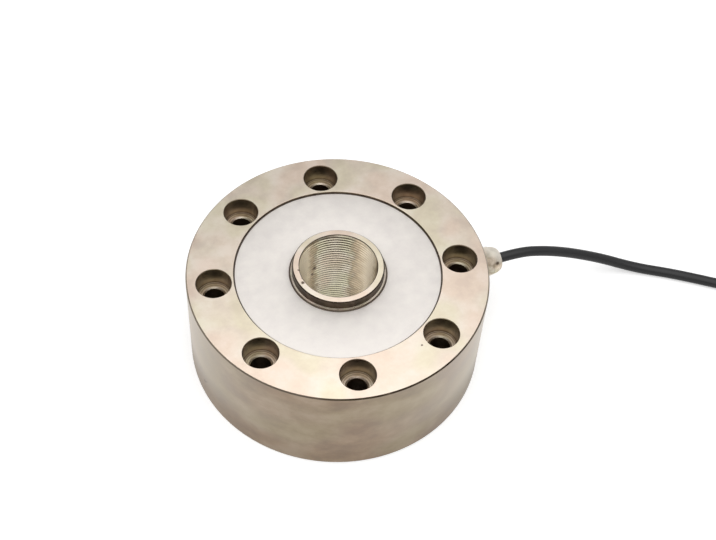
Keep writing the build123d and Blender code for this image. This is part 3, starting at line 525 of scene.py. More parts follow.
# The plate takes another look on each kind of face: the ground faces are bright, and the bored walls and
# screw seats are dull with cutting oil. The darker tones of the turned side, the rim's chamfer, the collar's
# side, the counterbore walls and the drilled holes are painted shade, and the films on the side, the chamfer,
# the seats' corners and the bore lay painted light and shade.
FINISHES = {
    "ground": nickel_plate("nickel_on_ground_steel", ("#E3D6C8", "#ECE0D1", "#F3E9DD"), 9 * MM, (0.28, 0.36),
                           TOP_NICKS),
    # Turned side: its darker tones are painted shade.
    "turned": nickel_plate("nickel_on_turned_steel", ("#7F7060", "#8D7E6B", "#9A8C7B"), 16 * MM, (0.34, 0.42),
                           SIDE_NICKS, (1, 1, 1.5), painted_side_sheen),
    # Rim's chamfer: dark tones, painted shade.
    "edge": nickel_plate("nickel_painted_edge_shade", ("#40362E", "#54483E", "#6E6154"), 6 * MM, (0.3, 0.4),
                         film=painted_edge_light),
    # Counterbore walls: darker tones, painted shade in the recesses.
    "bored": nickel_plate("nickel_in_counterbores", ("#7C6E5D", "#8B7D6B", "#9B8D7A"), 5 * MM, (0.34, 0.42)),
    # Screw seats: tool rings, and painted shade in their outer corner.
    "seat": nickel_plate("nickel_on_screw_seats", ("#DCD2C2", "#E8DFD0", "#F2EBDE"), 4 * MM, (0.28, 0.36),
                         film=facing_rings),
    # Drilled holes: dark tones, painted shade deep in the holes.
    "drilled": nickel_plate("nickel_in_drilled_holes", ("#6A5A4A", "#786756", "#867462"), 4 * MM,
                            (0.45, 0.55)),
    # Collar's side and the bore's top chamfer: near-black tones, painted shade.
    "collar": nickel_plate("nickel_on_collar", ("#3E352D", "#4D4239", "#5E5349"), 3 * MM, (0.26, 0.34)),
    "lip": nickel_plate("nickel_on_lip", ("#BDB2A4", "#CBC1B4", "#D8CFC3"), 3 * MM, (0.26, 0.34)),
    # Thread: painted light and shade round the bore.
    "tapped": nickel_plate("nickel_in_tapped_thread", ("#B1AA97", "#BCB5A4", "#C6C0B1"), 6 * MM, (0.2, 0.28),
                           BORE_NICKS, film=painted_bore_light),
}


FLAT_FROM = 0.95
CHAMFER_TILT = (0.1, 0.98)


def nearest_hole(place):
    """How far a place lies from the axis of the nearest bolt hole."""
    angle = math.degrees(math.atan2(place.y, place.x)) - FIRST_BOLT_ANGLE
    centre = hole_centre(round(angle * BOLT_COUNT / 360))
    return (place.xy - centre.xy).length


def finish_of(centre, normal):
    """Which finish a face of the body has, by where it lies and which way it faces."""
    radius, upright, height = centre.xy.length, abs(normal.z), centre.z
    flat, reach = upright > FLAT_FROM, nearest_hole(centre)
    if radius < THREAD_ROOT_RADIUS + EDGE_BREAK and not flat:
        return "collar" if height > COLLAR_TOP - BORE_CHAMFER else "tapped"
    if COLLAR_RADIUS - COLLAR_CHAMFER < radius < HUB_RADIUS - MM and height > RIM_HEIGHT - COVER_SINK:
        return "lip" if flat and radius > COLLAR_RADIUS else "collar"
    if radius > RIM_RADIUS - RIM_CHAMFER - EDGE_BREAK:
        return "edge" if CHAMFER_TILT[0] < upright < CHAMFER_TILT[1] else "turned"
    if reach < COUNTERBORE_RADIUS + 3 * HOLE_LIP and not (flat and height > COUNTERBORE_FLOOR + MM):
        if height > COUNTERBORE_FLOOR + EDGE_BREAK / 2:
            return "bored"
        if height > COUNTERBORE_FLOOR - SEAT_CHAMFER - EDGE_BREAK:
            return "seat"
        if reach < BOLT_HOLE_RADIUS + EDGE_BREAK:
            return "drilled"
    # The rim's step over the cover takes the darker counterbore tone: painted shade.
    if abs(radius - RECESS_RADIUS) < EDGE_BREAK and not flat:
        return "bored"
    inside = COVER_SEAT - EDGE_BREAK < height < RIM_HEIGHT - COVER_SEAT + EDGE_BREAK
    return "turned" if inside else "ground"


body = elastic_body()
body.data.materials.clear()
for finish in FINISHES.values():
    body.data.materials.append(finish)
order = list(FINISHES)
for face in body.data.polygons:
    face.material_index = order.index(finish_of(face.center, face.normal))
hole_reach = body.data.attributes.new("hole_reach", "FLOAT", "POINT")
hole_reach.data.foreach_set("value", [nearest_hole(vertex.co) for vertex in body.data.vertices])
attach(body, "root")
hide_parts("elastic_body")


# Strain gauges: etched foil grids on amber polyimide film, bonded at 45 degrees to the floors of the pockets
# in both sides of each spoke. Each has two tabs beside its grid, which its wires are soldered to.
GAUGE_LENGTH = 8.0 * MM
GAUGE_WIDTH = 6.0 * MM
GAUGE_ANGLE = 45
FILM_THICKNESS = 0.1 * MM
FOIL_THICKNESS = 0.04 * MM
GRID_LINES = 10
GRID_PITCH = 0.4 * MM
GRID_LINE_WIDTH = 0.22 * MM
GRID_LENGTH = 4.4 * MM
GRID_OFFSET = 0.9 * MM
TAB_SIZE = 1.3 * MM
TAB_OFFSET = 2.8 * MM
TAB_SPREAD = 1.1 * MM
SOLDER_RADIUS = 0.5 * MM
SOLDER_SHOULDER = 0.8 * SOLDER_RADIUS
SOLDER_CROWN = 0.4 * SOLDER_RADIUS
SOLDER_TOP = 0.25 * MM
SOLDER_COLUMNS = 16


def cloudy(name, tones, patch, dullness, grain, relief, metallic=0.0, top_light_tone=None, gloss=0.5):
    """A finish that drifts softly between two tones and between two roughnesses, over a fine grain. A top
    light tone, painted light, is laid over its upper side."""
    material, tree, place = new_material(name)
    cloud = add_node(tree, "TexNoise", {"Vector": place, "Scale": 1 / patch, **CLOUD_DETAIL})
    fine = add_node(tree, "TexNoise", {"Vector": place, "Scale": 1 / grain, "Detail": 3.0})
    colour = add_node(tree, "ValToRGB", {"Fac": cloud}, stops=[(0.3, tones[0]), (0.7, tones[1])])
    dull = add_node(tree, "MapRange", {"Value": cloud, "From Min": 0.3, "From Max": 0.7,
                                       "To Min": dullness[0], "To Max": dullness[1]})
    if top_light_tone:
        normal = add_node(tree, "NewGeometry").outputs["Normal"]
        upwards = add_node(tree, "SeparateXYZ", {"Vector": normal}).outputs["Z"]
        upper_side = add_node(tree, "MapRange", {"Value": upwards, "From Max": 0.9, "To Max": 0.9})
        colour = add_node(tree, "Mix", {0: upper_side, 6: colour, 7: to_linear(top_light_tone)}, LAID_OVER)
        colour = colour.outputs[MIX_RESULT]
    skin = add_node(tree, "Bump", {"Strength": 0.2, "Distance": relief, "Height": fine})
    shader = add_node(tree, "BsdfPrincipled", {"Base Color": colour, "Metallic": metallic, "Roughness": dull,
                                               "Specular IOR Level": gloss, "Normal": skin})
    add_node(tree, "OutputMaterial", {"Surface": shader})
    return material


def dress(piece, finish, slot, *nodes):
    """Gives a piece its finish and sets it in the place of its CAD nodes. The slot is not used."""
    piece.data.materials.append(finish)
    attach(piece, "root")
    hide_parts(*nodes)


def rectangle(width, length, x=0, y=0):
    """The four corners of a rectangle, centred at x and y."""
    return [(x + side_x * width / 2, y + side_y * length / 2)
            for side_x, side_y in ((-1, -1), (1, -1), (1, 1), (-1, 1))]


def plate(x, y, width, length, low, high, place):
    """A thin flat plate, centred at x and y of a place."""
    return prism(rectangle(width, length, x, y), low, high, place)


def foil_grid(place, lines, pitch, length, low):
    """The grid's parallel lines with the short loops that join them end to end."""
    high, plates = low + FOIL_THICKNESS, []
    for line in range(lines):
        x = (line - (lines - 1) / 2) * pitch
        plates.append(plate(x, 0, GRID_LINE_WIDTH, length, low, high, place))
        end = (length - GRID_LINE_WIDTH) / 2 * (1 if line % 2 == 0 else -1)
        gap = pitch - GRID_LINE_WIDTH
        if line < lines - 1:
            plates.append(plate(x + pitch / 2, end, gap, GRID_LINE_WIDTH, low, high, place))
    return plates


def soldered_tab(x, y, low, top, place):
    """A square tab of foil with a low dome of solder on it."""
    high = low + FOIL_THICKNESS
    dome = [(0, high), (SOLDER_RADIUS, high), (SOLDER_SHOULDER, (top + high) / 2), (SOLDER_CROWN, top),
            (0, top)]
    return [plate(x, y, TAB_SIZE, TAB_SIZE, low, high, place),
            turned(dome, SOLDER_COLUMNS, place @ Matrix.Translation((x, y, 0)))]


# Polyimide film: amber, smooth and slightly glossy.
polyimide = cloudy("polyimide_film", ("#A8641C", "#C07C2A"), 2 * MM, (0.25, 0.35), 0.3 * MM, 0.01 * MM)
# Etched constantan foil with its soldered tabs: a dull coppery grey.
constantan = cloudy("constantan_foil", ("#A58F7C", "#BBA793"), 1 * MM, (0.3, 0.4), 0.1 * MM, 0.005 * MM, 1.0)

aslant = Matrix.Rotation(math.radians(GAUGE_ANGLE), 4, "Z")
places = [pocket_place(angle, side) @ aslant for angle in SPOKE_ANGLES for side in (-1, 1)]
films = [plate(0, 0, GAUGE_WIDTH, GAUGE_LENGTH, 0, FILM_THICKNESS, place) for place in places]
dress(mesh_piece("gauge_films", *joined(*films)), polyimide, "gauge_foil", "strain_gauges")
foils = []
for place in places:
    grid_place = place @ Matrix.Translation((0, GRID_OFFSET, 0))
    foils += foil_grid(grid_place, GRID_LINES, GRID_PITCH, GRID_LENGTH, FILM_THICKNESS)
    for side in (-1, 1):
        foils += soldered_tab(side * TAB_SPREAD, -TAB_OFFSET, FILM_THICKNESS, SOLDER_TOP, place)
dress(mesh_piece("gauge_foils", *joined(*foils)), constantan, "gauge_foil", "strain_gauges")


# Terminal board: a sector of glass-fibre laminate across two spokes, with a green lacquer through which the
# weave shows as fine squares. It joins the gauges' wires to the cable's cores.
BOARD_THICKNESS = 1.6 * MM
BOARD_TOP = SPOKE_TOP + BOARD_THICKNESS
WEAVE_PITCH = 0.6 * MM
WAVES_A_UNIT = 20 / (2 * math.pi)
LACQUER_PATCH = 5 * MM


def lacquered_laminate():
    """Green lacquer over glass cloth: glossy, with threads that catch the light in a faint square grid."""
    material, tree, place = new_material("lacquered_glass_laminate")
    threads = [add_node(tree, "TexWave", {"Vector": place, "Scale": 1 / WAVES_A_UNIT / WEAVE_PITCH},
                        {"bands_direction": direction}).outputs["Fac"] for direction in ("X", "Y")]
    weave = add_node(tree, "Math", {0: threads[0], 1: threads[1]}, {"operation": "MULTIPLY"})
    cloud = add_node(tree, "TexNoise", {"Vector": place, "Scale": 1 / LACQUER_PATCH})
    tone = add_node(tree, "Math", {0: weave, 1: 0.3, 2: cloud}, {"operation": "MULTIPLY_ADD"})
    colour = add_node(tree, "ValToRGB", {"Fac": tone}, stops=[(0.3, "#1B4A24"), (0.9, "#2F6B38")])
    relief = add_node(tree, "Bump", {"Strength": 0.3, "Distance": 0.02 * MM, "Height": weave})
    shader = add_node(tree, "BsdfPrincipled", {"Base Color": colour, "Roughness": 0.3, "Normal": relief})
    add_node(tree, "OutputMaterial", {"Surface": shader})
    return material


def coat(finish, *nodes):
    """Gives a finish to CAD pieces that are kept as they are."""
    for node in nodes:
        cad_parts[node].data.materials.clear()
        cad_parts[node].data.materials.append(finish)


coat(lacquered_laminate(), "terminal_board")


# Solder posts: nine brass pins, turned, tinned and pressed into the board. Each has a flange that it stands
# on and a waist that its wire is wound round and soldered to.
POST_HEIGHT = 2.6 * MM
POST_FLANGE_RADIUS = 1.2 * MM
POST_FLANGE_HEIGHT = 0.5 * MM
POST_PIN_RADIUS = 0.7 * MM
POST_WAIST_RADIUS = 0.5 * MM
POST_WAIST = (1.1 * MM, 1.9 * MM)
POST_EDGE = 0.15 * MM
POST_COLUMNS = 24
OUTER_POST_RADIUS = CAVITY_RADIUS - 5.0 * MM
OUTER_POST_ANGLES = (-38, -24, -12, 0, 12, 24, 38)
LOOM_POST_ANGLES = (-44, 44)

flange, pin, waist, edge = POST_FLANGE_RADIUS, POST_PIN_RADIUS, POST_WAIST_RADIUS, POST_EDGE
post_outline = rounded([
    (0, 0), (flange, 0), (flange, POST_FLANGE_HEIGHT, edge), (pin, POST_FLANGE_HEIGHT),
    (pin, POST_WAIST[0], edge), (waist, POST_WAIST[0] + edge), (waist, POST_WAIST[1] - edge),
    (pin, POST_WAIST[1], edge), (pin, POST_HEIGHT, edge), (0, POST_HEIGHT),
])
feet = [polar(OUTER_POST_RADIUS, angle, BOARD_TOP) for angle in OUTER_POST_ANGLES]
feet += [polar(SPOKE_MIDDLE, angle, BOARD_TOP) for angle in LOOM_POST_ANGLES]
posts = joined(*[turned(post_outline, POST_COLUMNS, Matrix.Translation(foot)) for foot in feet])
# Tinned brass: bright grey with a yellow cast, uneven where the solder wetted it.
tinned_brass = cloudy("tinned_brass", ("#B9B19F", "#D8D3C6"), 0.8 * MM, (0.25, 0.4), 0.2 * MM, 0.02 * MM, 1.0)
dress(mesh_piece("solder_posts_turned", *posts), tinned_brass, "tinned_brass", "solder_posts")


# Trim resistors: four axial film resistors that balance the bridge. Each is a ceramic rod in blue lacquer,
# swollen over its end caps, with four painted bands and a tinned wire bent down to the board at each end.
RESISTOR_RADIUS = 1.1 * MM
RESISTOR_WAIST = 0.92 * MM
RESISTOR_LENGTH = 6.0 * MM
RESISTOR_CAP = 1.4 * MM
RESISTOR_ROUND = 0.35 * MM
RESISTOR_WIRE = 0.6 * MM
RESISTOR_PITCH = 8.4 * MM
RESISTOR_PLACES = [(CAVITY_RADIUS - 8.5 * MM, 18.5), (HUB_RADIUS + 4.0 * MM, 24)]
RESISTOR_COLUMNS = 32
BAND_WIDTH = 0.4 * MM
BAND_RISE = 0.03 * MM
# Orange, white, brown and gold: 390 ohms within five per cent.
BAND_TONES = {"orange": "#D9641E", "white": "#E6E2D8", "brown": "#5B3620", "gold": "#B08A3C"}
BAND_STARTS = (-1.5 * MM, -0.8 * MM, -0.1 * MM, 1.0 * MM)


def rod_along(line, radius, sides=12, offset=0.0, start=0.0, lay=1.0):
    """A round rod along a line of places. With an offset it winds round the line, once in each lay."""
    points, faces, way = [], [], 0.0
    for number, centre in enumerate(line):
        along = (line[min(number + 1, len(line) - 1)] - line[max(number - 1, 0)]).normalized()
        side = along.cross(Vector((0, 0, 1)) if abs(along.z) < 0.9 else Vector((0, 1, 0))).normalized()
        up = side.cross(along)
        way += (centre - line[max(number - 1, 0)]).length
        turn = 2 * math.pi * way / lay + math.radians(start)
        middle = centre + (side * math.cos(turn) + up * math.sin(turn)) * offset
        for corner in range(sides):
            around = 2 * math.pi * corner / sides
            points.append(middle + (side * math.cos(around) + up * math.sin(around)) * radius)
        if number:
            here, there = (number - 1) * sides, number * sides
            faces += [(here + n, there + n, there + (n + 1) % sides, here + (n + 1) % sides)
                      for n in range(sides)]
    faces += [tuple(range(sides)), tuple(range(len(points) - sides, len(points)))]
    return points, faces


def resistor_place(radius, angle):
    """Over the board, with Z along the resistor's own axis and X straight up."""
    height = BOARD_TOP + RESISTOR_RADIUS + RESISTOR_WIRE
    outwards, round_hub, up = polar(1, angle), polar(1, angle + 90), Vector((0, 0, 1))
    turn = Matrix((up, -outwards, round_hub)).transposed().to_4x4()
    return Matrix.Translation(polar(radius, angle, height)) @ turn


half, cap, fat, slim = RESISTOR_LENGTH / 2, RESISTOR_CAP, RESISTOR_RADIUS, RESISTOR_WAIST
edge = RESISTOR_ROUND
rod_outline = rounded([
    (0, -half), (fat, -half, edge), (fat, cap - half, edge), (slim, cap - half + edge),
    (slim, half - cap - edge), (fat, half - cap, edge), (fat, half, edge), (0, half),
])
places = [resistor_place(radius, side * angle) for radius, angle in RESISTOR_PLACES for side in (-1, 1)]
rods = joined(*[turned(rod_outline, RESISTOR_COLUMNS, place) for place in places])
# Resistor lacquer: a clear blue, smooth and glossy.
lacquer = cloudy("resistor_lacquer", ("#2F6C9E", "#3D7DB0"), 2 * MM, (0.25, 0.35), 0.3 * MM, 0.01 * MM)
dress(mesh_piece("resistor_rods", *rods), lacquer, "resistor_body", "trim_resistors")
# Band paint: one flat colour a band, as glossy as the lacquer under it.
for (band, tone), start in zip(BAND_TONES.items(), BAND_STARTS):
    band_outline = rectangle(2 * BAND_RISE, BAND_WIDTH, slim, start + BAND_WIDTH / 2)
    rings = joined(*[turned(band_outline, RESISTOR_COLUMNS, place) for place in places])
    paint = cloudy(f"{band}_band_paint", (tone, tone), 1 * MM, (0.3, 0.4), 0.1 * MM, 0.01 * MM)
    dress(mesh_piece(f"resistor_band_{band}", *rings), paint, "resistor_body", "trim_resistors")
rise, reach = RESISTOR_RADIUS + RESISTOR_WIRE, RESISTOR_PITCH / 2
bent = rounded([(-rise, -reach), (0, -reach, RESISTOR_WIRE), (0, RESISTOR_ROUND - half)], steps=6)
wires = []
for place in places:
    for side in (-1, 1):
        line = [place @ Vector((spot.x, 0, -side * spot.y)) for spot in bent]
        wires.append(rod_along(line, RESISTOR_WIRE / 2))
# Tinned wire: a bright grey, a little uneven where the tin ran.
wire_tin = cloudy("tinned_wire", ("#B5B1A8", "#D2CEC6"), 0.8 * MM, (0.25, 0.4), 0.2 * MM, 0.01 * MM, 1.0)
dress(mesh_piece("resistor_wires", *joined(*wires)), wire_tin, "resistor_body", "trim_resistors")


# Foil resistors: two nickel foil grids on varnished chips, which correct the reading for temperature. They
# are cemented to the board near its ends, each with two tabs for its wires.
CHIP_WIDTH = 3.2 * MM
CHIP_LENGTH = 5.0 * MM
CHIP_HEIGHT = 0.7 * MM
CHIP_TOP = 0.9 * MM
CHIP_ROUND = 0.3 * MM
CHIP_ANGLES = (-42, 42)
CHIP_RADIUS = HUB_RADIUS + 4.5 * MM
CHIP_LINES = 6
CHIP_GRID = 2.6 * MM
CHIP_TAB_INSET = 0.6 * TAB_SIZE

# Varnished carrier: a translucent amber, pooled darker here and there.
varnish = cloudy("varnished_carrier", ("#A5672A", "#C98B3F"), 1.5 * MM, (0.2, 0.3), 0.3 * MM, 0.01 * MM)
chip_section = rounded([(*corner, CHIP_ROUND) for corner in rectangle(CHIP_WIDTH, CHIP_LENGTH)])
places = [Matrix.Rotation(math.radians(angle), 4, "Z") @ Matrix.Translation((CHIP_RADIUS, 0, BOARD_TOP))
          for angle in CHIP_ANGLES]
chips = joined(*[prism(chip_section, 0, CHIP_HEIGHT, place) for place in places])
dress(mesh_piece("resistor_chips", *chips), varnish, "foil_resistor_body", "foil_resistors")
grids = []
for place in places:
    grid_place = place @ Matrix.Translation((0, GRID_LINE_WIDTH, 0))
    grids += foil_grid(grid_place, CHIP_LINES, GRID_PITCH, CHIP_GRID, CHIP_HEIGHT)
    for side in (-1, 1):
        across, along = side * CHIP_TAB_INSET, CHIP_TAB_INSET - CHIP_LENGTH / 2
        grids += soldered_tab(across, along, CHIP_HEIGHT, CHIP_TOP, place)
dress(mesh_piece("resistor_foils", *joined(*grids)), constantan, "foil_resistor_body", "foil_resistors")


# Gauge wires: the loom that goes round the spokes, and the two jumpers beside the cable's way in. Both are
# fine wires drawn into white woven sleeving, which shows as a small regular grain.
SLEEVING_PITCH = 0.5 * MM
SLEEVING_PATCH = 6 * MM


def woven_sleeving():
    """White glass sleeving: matt, yellowed a little, with rows of small cells for its weave."""
    material, tree, place = new_material("woven_sleeving")
    cells = add_node(tree, "TexVoronoi", {"Vector": place, "Scale": 1 / SLEEVING_PITCH})
    cloud = add_node(tree, "TexNoise", {"Vector": place, "Scale": 1 / SLEEVING_PATCH, "Detail": 3.0})
    tone = add_node(tree, "Math", {0: cells, 1: -0.35, 2: cloud}, {"operation": "MULTIPLY_ADD"})
    colour = add_node(tree, "ValToRGB", {"Fac": tone}, stops=[(0.1, "#B9B19C"), (0.5, "#E6E1D3")])
    relief = add_node(tree, "Bump", {"Strength": 0.5, "Distance": 0.08 * MM, "Height": cells})
    shader = add_node(tree, "BsdfPrincipled", {"Base Color": colour, "Roughness": 0.6, "Normal": relief})
    add_node(tree, "OutputMaterial", {"Surface": shader})
    return material


coat(woven_sleeving(), "bridge_loom", "bridge_jumpers")


# Inner cores: the cable's four insulated cores and its bare drain wire, up from the cable's end to their
# posts. They are stranded copper in coloured PVC, the same that shows on the leads at the far end.
CORE_TONES = {"red": ("#B4221C", "#C63027"), "black": ("#1B1B1D", "#27272A"),
              "white": ("#DAD6CC", "#E8E5DD"), "green": ("#1A6B35", "#238043")}

# PVC insulation: an even colour with a satin shine, hardly clouded.
INSULATION = {core: cloudy(f"{core}_pvc_insulation", tones, 5 * MM, (0.3, 0.38), 0.5 * MM, 0.02 * MM)
              for core, tones in CORE_TONES.items()}
# Tinned copper: a pale grey metal, a little uneven where the tin ran.
tinned_copper = cloudy("tinned_copper", ("#C9C5BE", "#E2DFD9"), 0.8 * MM, (0.28, 0.42), 0.2 * MM, 0.02 * MM,
                       1.0)

for core, finish in INSULATION.items():
    coat(finish, f"inner_{core}")
coat(tinned_copper, "inner_drain")


# Covers: two plain turned discs of stainless sheet, bead blasted to an even pale grey. They sit on ledges of
# the rim and the hub, one at each end, and keep dust off the gauges.
COVER_OUTER = RECESS_RADIUS - 0.5 * MM
COVER_INNER = LIP_RADIUS + 0.5 * MM
COVER_EDGE = 0.2 * MM

# Bead-blasted stainless steel: pale, slightly warm and even from any side, with faint wide clouds.
blasted_stainless = cloudy("blasted_stainless_steel", ("#EEE8E3", "#F8F3ED"), 5 * MM, (0.5, 0.62), 0.3 * MM,
                           0.02 * MM, 0.6)

for node, bottom in (("top_cover", RIM_HEIGHT - COVER_SEAT), ("bottom_cover", COVER_SINK)):
    top, edge = bottom + COVER_THICKNESS, COVER_EDGE
    cover_outline = rounded([(COVER_INNER, bottom, edge), (COVER_OUTER, bottom, edge),
                             (COVER_OUTER, top, edge), (COVER_INNER, top, edge)])
    cover = mesh_piece(f"{node}_disc", *turned(cover_outline, BODY_COLUMNS))
    dress(cover, blasted_stainless, "cover_steel", node)


# Sealing compound: a dark polyurethane run into the two grooves round each cover. It cures a little below the
# cover's edge and hollow in the middle, where it drew down.
SEALANT_DEPTH = 1.2 * MM
SEALANT_SAG = 0.15 * MM
SAG_STEPS = 6


def sealant_ring(inner, outer, back, front):
    """One ring of compound in its groove: flat at the back, hollow at the front."""
    outline = [(inner, back), (outer, back)]
    for step in range(SAG_STEPS + 1):
        share = 1 - step / SAG_STEPS
        sag = SEALANT_SAG * (1 - (2 * share - 1) ** 2)
        outline.append((inner + (outer - inner) * share, front + (sag if back > front else -sag)))
    return turned(outline, BODY_COLUMNS)


# Cured polyurethane: a brown grey that takes dust, with a dull skin.
sealing_compound = cloudy("cured_polyurethane", ("#4A4039", "#6A5E55"), 4 * MM, (0.5, 0.65), 0.3 * MM,
                          0.02 * MM)

for node, back, towards in (("top_cover", RIM_HEIGHT - COVER_SEAT, 1), ("bottom_cover", COVER_SEAT, -1)):
    front = back + towards * SEALANT_DEPTH
    rings = joined(sealant_ring(COVER_OUTER, RECESS_RADIUS, back, front),
                   sealant_ring(LIP_RADIUS, COVER_INNER, back, front))
    dress(mesh_piece(f"{node}_compound", *rings), sealing_compound, "sealing_compound", f"{node}_sealant")


# Cable gland: a threaded body with a hexagon flange, screwed into the rim's port on a rubber washer, and a
# domed nut, both turned and milled from brass bar and nickel plated. Inside, the nut's cone closes a split
# nylon clamp and a rubber grommet on the cable.
NUT_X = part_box("gland_nut")[0].x
MOUTH_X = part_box("gland_nut")[1].x
WASHER_THICKNESS = 1.0 * MM
WASHER_RADIUS = 6.5 * MM
WASHER_EDGE = 0.3 * MM
FLANGE_LENGTH = 3.5 * MM
FLANGE_X = SPOT_FACE_X + WASHER_THICKNESS
BARREL_X = FLANGE_X + FLANGE_LENGTH
CLAMP_X = BARREL_X + 4.5 * MM
CLAMP_LENGTH = 2.2 * MM
CLAMP_WALL = 1.7 * MM
SHANK_LENGTH = 10.0 * MM
SHANK_RADIUS = 4.95 * MM
GROMMET_RADIUS = 3.55 * MM
GROMMET_LENGTH = 4.3 * MM
HEX_FLAT = 6.0 * MM
HEX_CORNER = HEX_FLAT / math.cos(math.radians(30))
HEX_CORNER_ROUND = 0.3 * MM
HEX_BREAK = 0.4 * MM
HEX_CREASE = 25
NUT_HEX_LENGTH = 4.8 * MM
DOME_LENGTH = 4.5 * MM
DOME_STEPS = 12
DOME_START = 5.95 * MM
MOUTH_RADIUS = 2.4 * MM
MOUTH_RIM = 1.1 * MM
# Painted highlight on one side of the nut's nose.
NOSE_HIGHLIGHT_TONE = "#FAF4E9"
NOSE_HIGHLIGHT_DEPTH = 0.85
NOSE_HIGHLIGHT_HAZE = 0.5
NOSE_HIGHLIGHT_SIDE = (1, 0.6, 1)
NOSE_HIGHLIGHT_FROM = 95.5 * MM
NOSE_HIGHLIGHT_FULLY = 100 * MM
MOUTH_EDGE = 0.25 * MM
GLAND_COLUMNS = 96


def on_gland_axis(x):
    return facing((1, 0, 0), (x, 0, MID_HEIGHT))


def milled_hexagon(name, outline, start, end):
    """A turned blank (radius, distance along the gland) with a hexagon's six flats milled on it."""
    piece = mesh_piece(name, *turned(outline, GLAND_COLUMNS, on_gland_axis(start)))
    hexagon = rounded([(*polar(HEX_CORNER, 60 * n).xy, HEX_CORNER_ROUND) for n in range(6)])
    carve(piece, [prism(hexagon, -MM, end - start + MM, on_gland_axis(start))], "INTERSECT")
    shade(piece, HEX_CREASE)
    even_shading(piece)
    return piece


def nut_outline():
    """Half section of the nut from its inner end: chamfered hexagon, dome, rounded mouth and stepped bore."""
    hexagon, mouth, corner = NUT_HEX_LENGTH, MOUTH_X - NUT_X, HEX_CORNER
    outline = [(PORT_RADIUS, 0), (corner - HEX_BREAK, 0, EDGE_BREAK), (corner, HEX_BREAK, EDGE_BREAK),
               (corner, hexagon - HEX_BREAK, EDGE_BREAK), (corner - 2 * HEX_BREAK, hexagon, EDGE_BREAK)]
    rim = MOUTH_RADIUS + MOUTH_RIM
    for step in range(DOME_STEPS + 1):
        turn = math.radians(90 * step / DOME_STEPS)
        outline.append((rim + (DOME_START - rim) * math.cos(turn), hexagon + DOME_LENGTH * math.sin(turn)))
    clamp, cone, end = CLAMP_X - NUT_X, CLAMP_X + CLAMP_LENGTH / 2 - NUT_X, CLAMP_X + CLAMP_LENGTH - NUT_X
    outline += [(MOUTH_RADIUS, mouth, MOUTH_EDGE), (MOUTH_RADIUS, end), (MOUTH_RADIUS + CLAMP_WALL / 2, end),
                (MOUTH_RADIUS + CLAMP_WALL, cone), (MOUTH_RADIUS + CLAMP_WALL, clamp), (PORT_RADIUS, clamp)]
    return rounded(outline)


def gland_body_outline():
    """Half section of the gland's body from its inner end: shank, flange, barrel and stepped bore."""
    flange = FLANGE_X - SPOT_FACE_X + SHANK_LENGTH
    barrel, end = flange + FLANGE_LENGTH, CLAMP_X - SPOT_FACE_X + SHANK_LENGTH
    return rounded([
        (MOUTH_RADIUS, 0, MOUTH_EDGE), (SHANK_RADIUS, 0, HEX_BREAK), (SHANK_RADIUS, flange),
        (HEX_CORNER - HEX_BREAK, flange, EDGE_BREAK), (HEX_CORNER, flange + HEX_BREAK, EDGE_BREAK),
        (HEX_CORNER, barrel - HEX_BREAK, EDGE_BREAK), (HEX_CORNER - HEX_BREAK, barrel, EDGE_BREAK),
        (SHANK_RADIUS, barrel), (SHANK_RADIUS, end, HEX_BREAK), (GROMMET_RADIUS, end),
        (GROMMET_RADIUS, end - GROMMET_LENGTH), (MOUTH_RADIUS, end - GROMMET_LENGTH),
    ])


def painted_nose_highlight(tree, place):
    """The nut's nose is painted paler on one side, a painted highlight, and made duller there."""
    along = add_node(tree, "VectorMath", {0: place, 1: NOSE_HIGHLIGHT_SIDE}, {"operation": "DOT_PRODUCT"})
    highlighted = add_node(tree, "MapRange", {"Value": along.outputs["Value"], "From Min": NOSE_HIGHLIGHT_FROM,
                                         "From Max": NOSE_HIGHLIGHT_FULLY, "To Max": NOSE_HIGHLIGHT_DEPTH})
    return highlighted, to_linear(NOSE_HIGHLIGHT_TONE), NOSE_HIGHLIGHT_HAZE


# Nickel-plated brass: a creamy satin metal, softer in its shine than the steel body, with grime in a nick and
# a painted highlight on one side of the nose.
plated_brass = nickel_plate("nickel_plated_brass", ("#AA9F8B", "#C4BAA8", "#E0D9CA"), 2.5 * MM, (0.38, 0.5),
                            [nick(71.4, -4.7, 26.9, 0.8)], film=painted_nose_highlight)
# Moulded rubber: black grey and dull, with a dusty bloom.
moulded_rubber = cloudy("moulded_rubber", ("#1D1C1B", "#2B2928"), 3 * MM, (0.6, 0.75), 0.2 * MM, 0.02 * MM)
# Moulded nylon: black with a low sheen, slightly uneven where it cooled.
moulded_nylon = cloudy("moulded_nylon", ("#19191B", "#232326"), 4 * MM, (0.35, 0.45), 0.5 * MM, 0.02 * MM)

nut = milled_hexagon("gland_nut_domed", nut_outline(), NUT_X, MOUTH_X)
dress(nut, plated_brass, "nickel_plated_brass", "gland_nut")

shank_start = SPOT_FACE_X - SHANK_LENGTH
flanged_body = milled_hexagon("gland_body_flanged", gland_body_outline(), shank_start, CLAMP_X)
dress(flanged_body, plated_brass, "nickel_plated_brass", "gland_body")

washer_outline = rounded([(PORT_RADIUS, 0), (WASHER_RADIUS, 0, WASHER_EDGE),
                          (WASHER_RADIUS, WASHER_THICKNESS, WASHER_EDGE), (PORT_RADIUS, WASHER_THICKNESS)])
washer = mesh_piece("gland_washer_seated", *turned(washer_outline, GLAND_COLUMNS, on_gland_axis(SPOT_FACE_X)))
dress(washer, moulded_rubber, "rubber", "gland_washer")

coat(moulded_rubber, "gland_grommet")
coat(moulded_nylon, "gland_clamp")


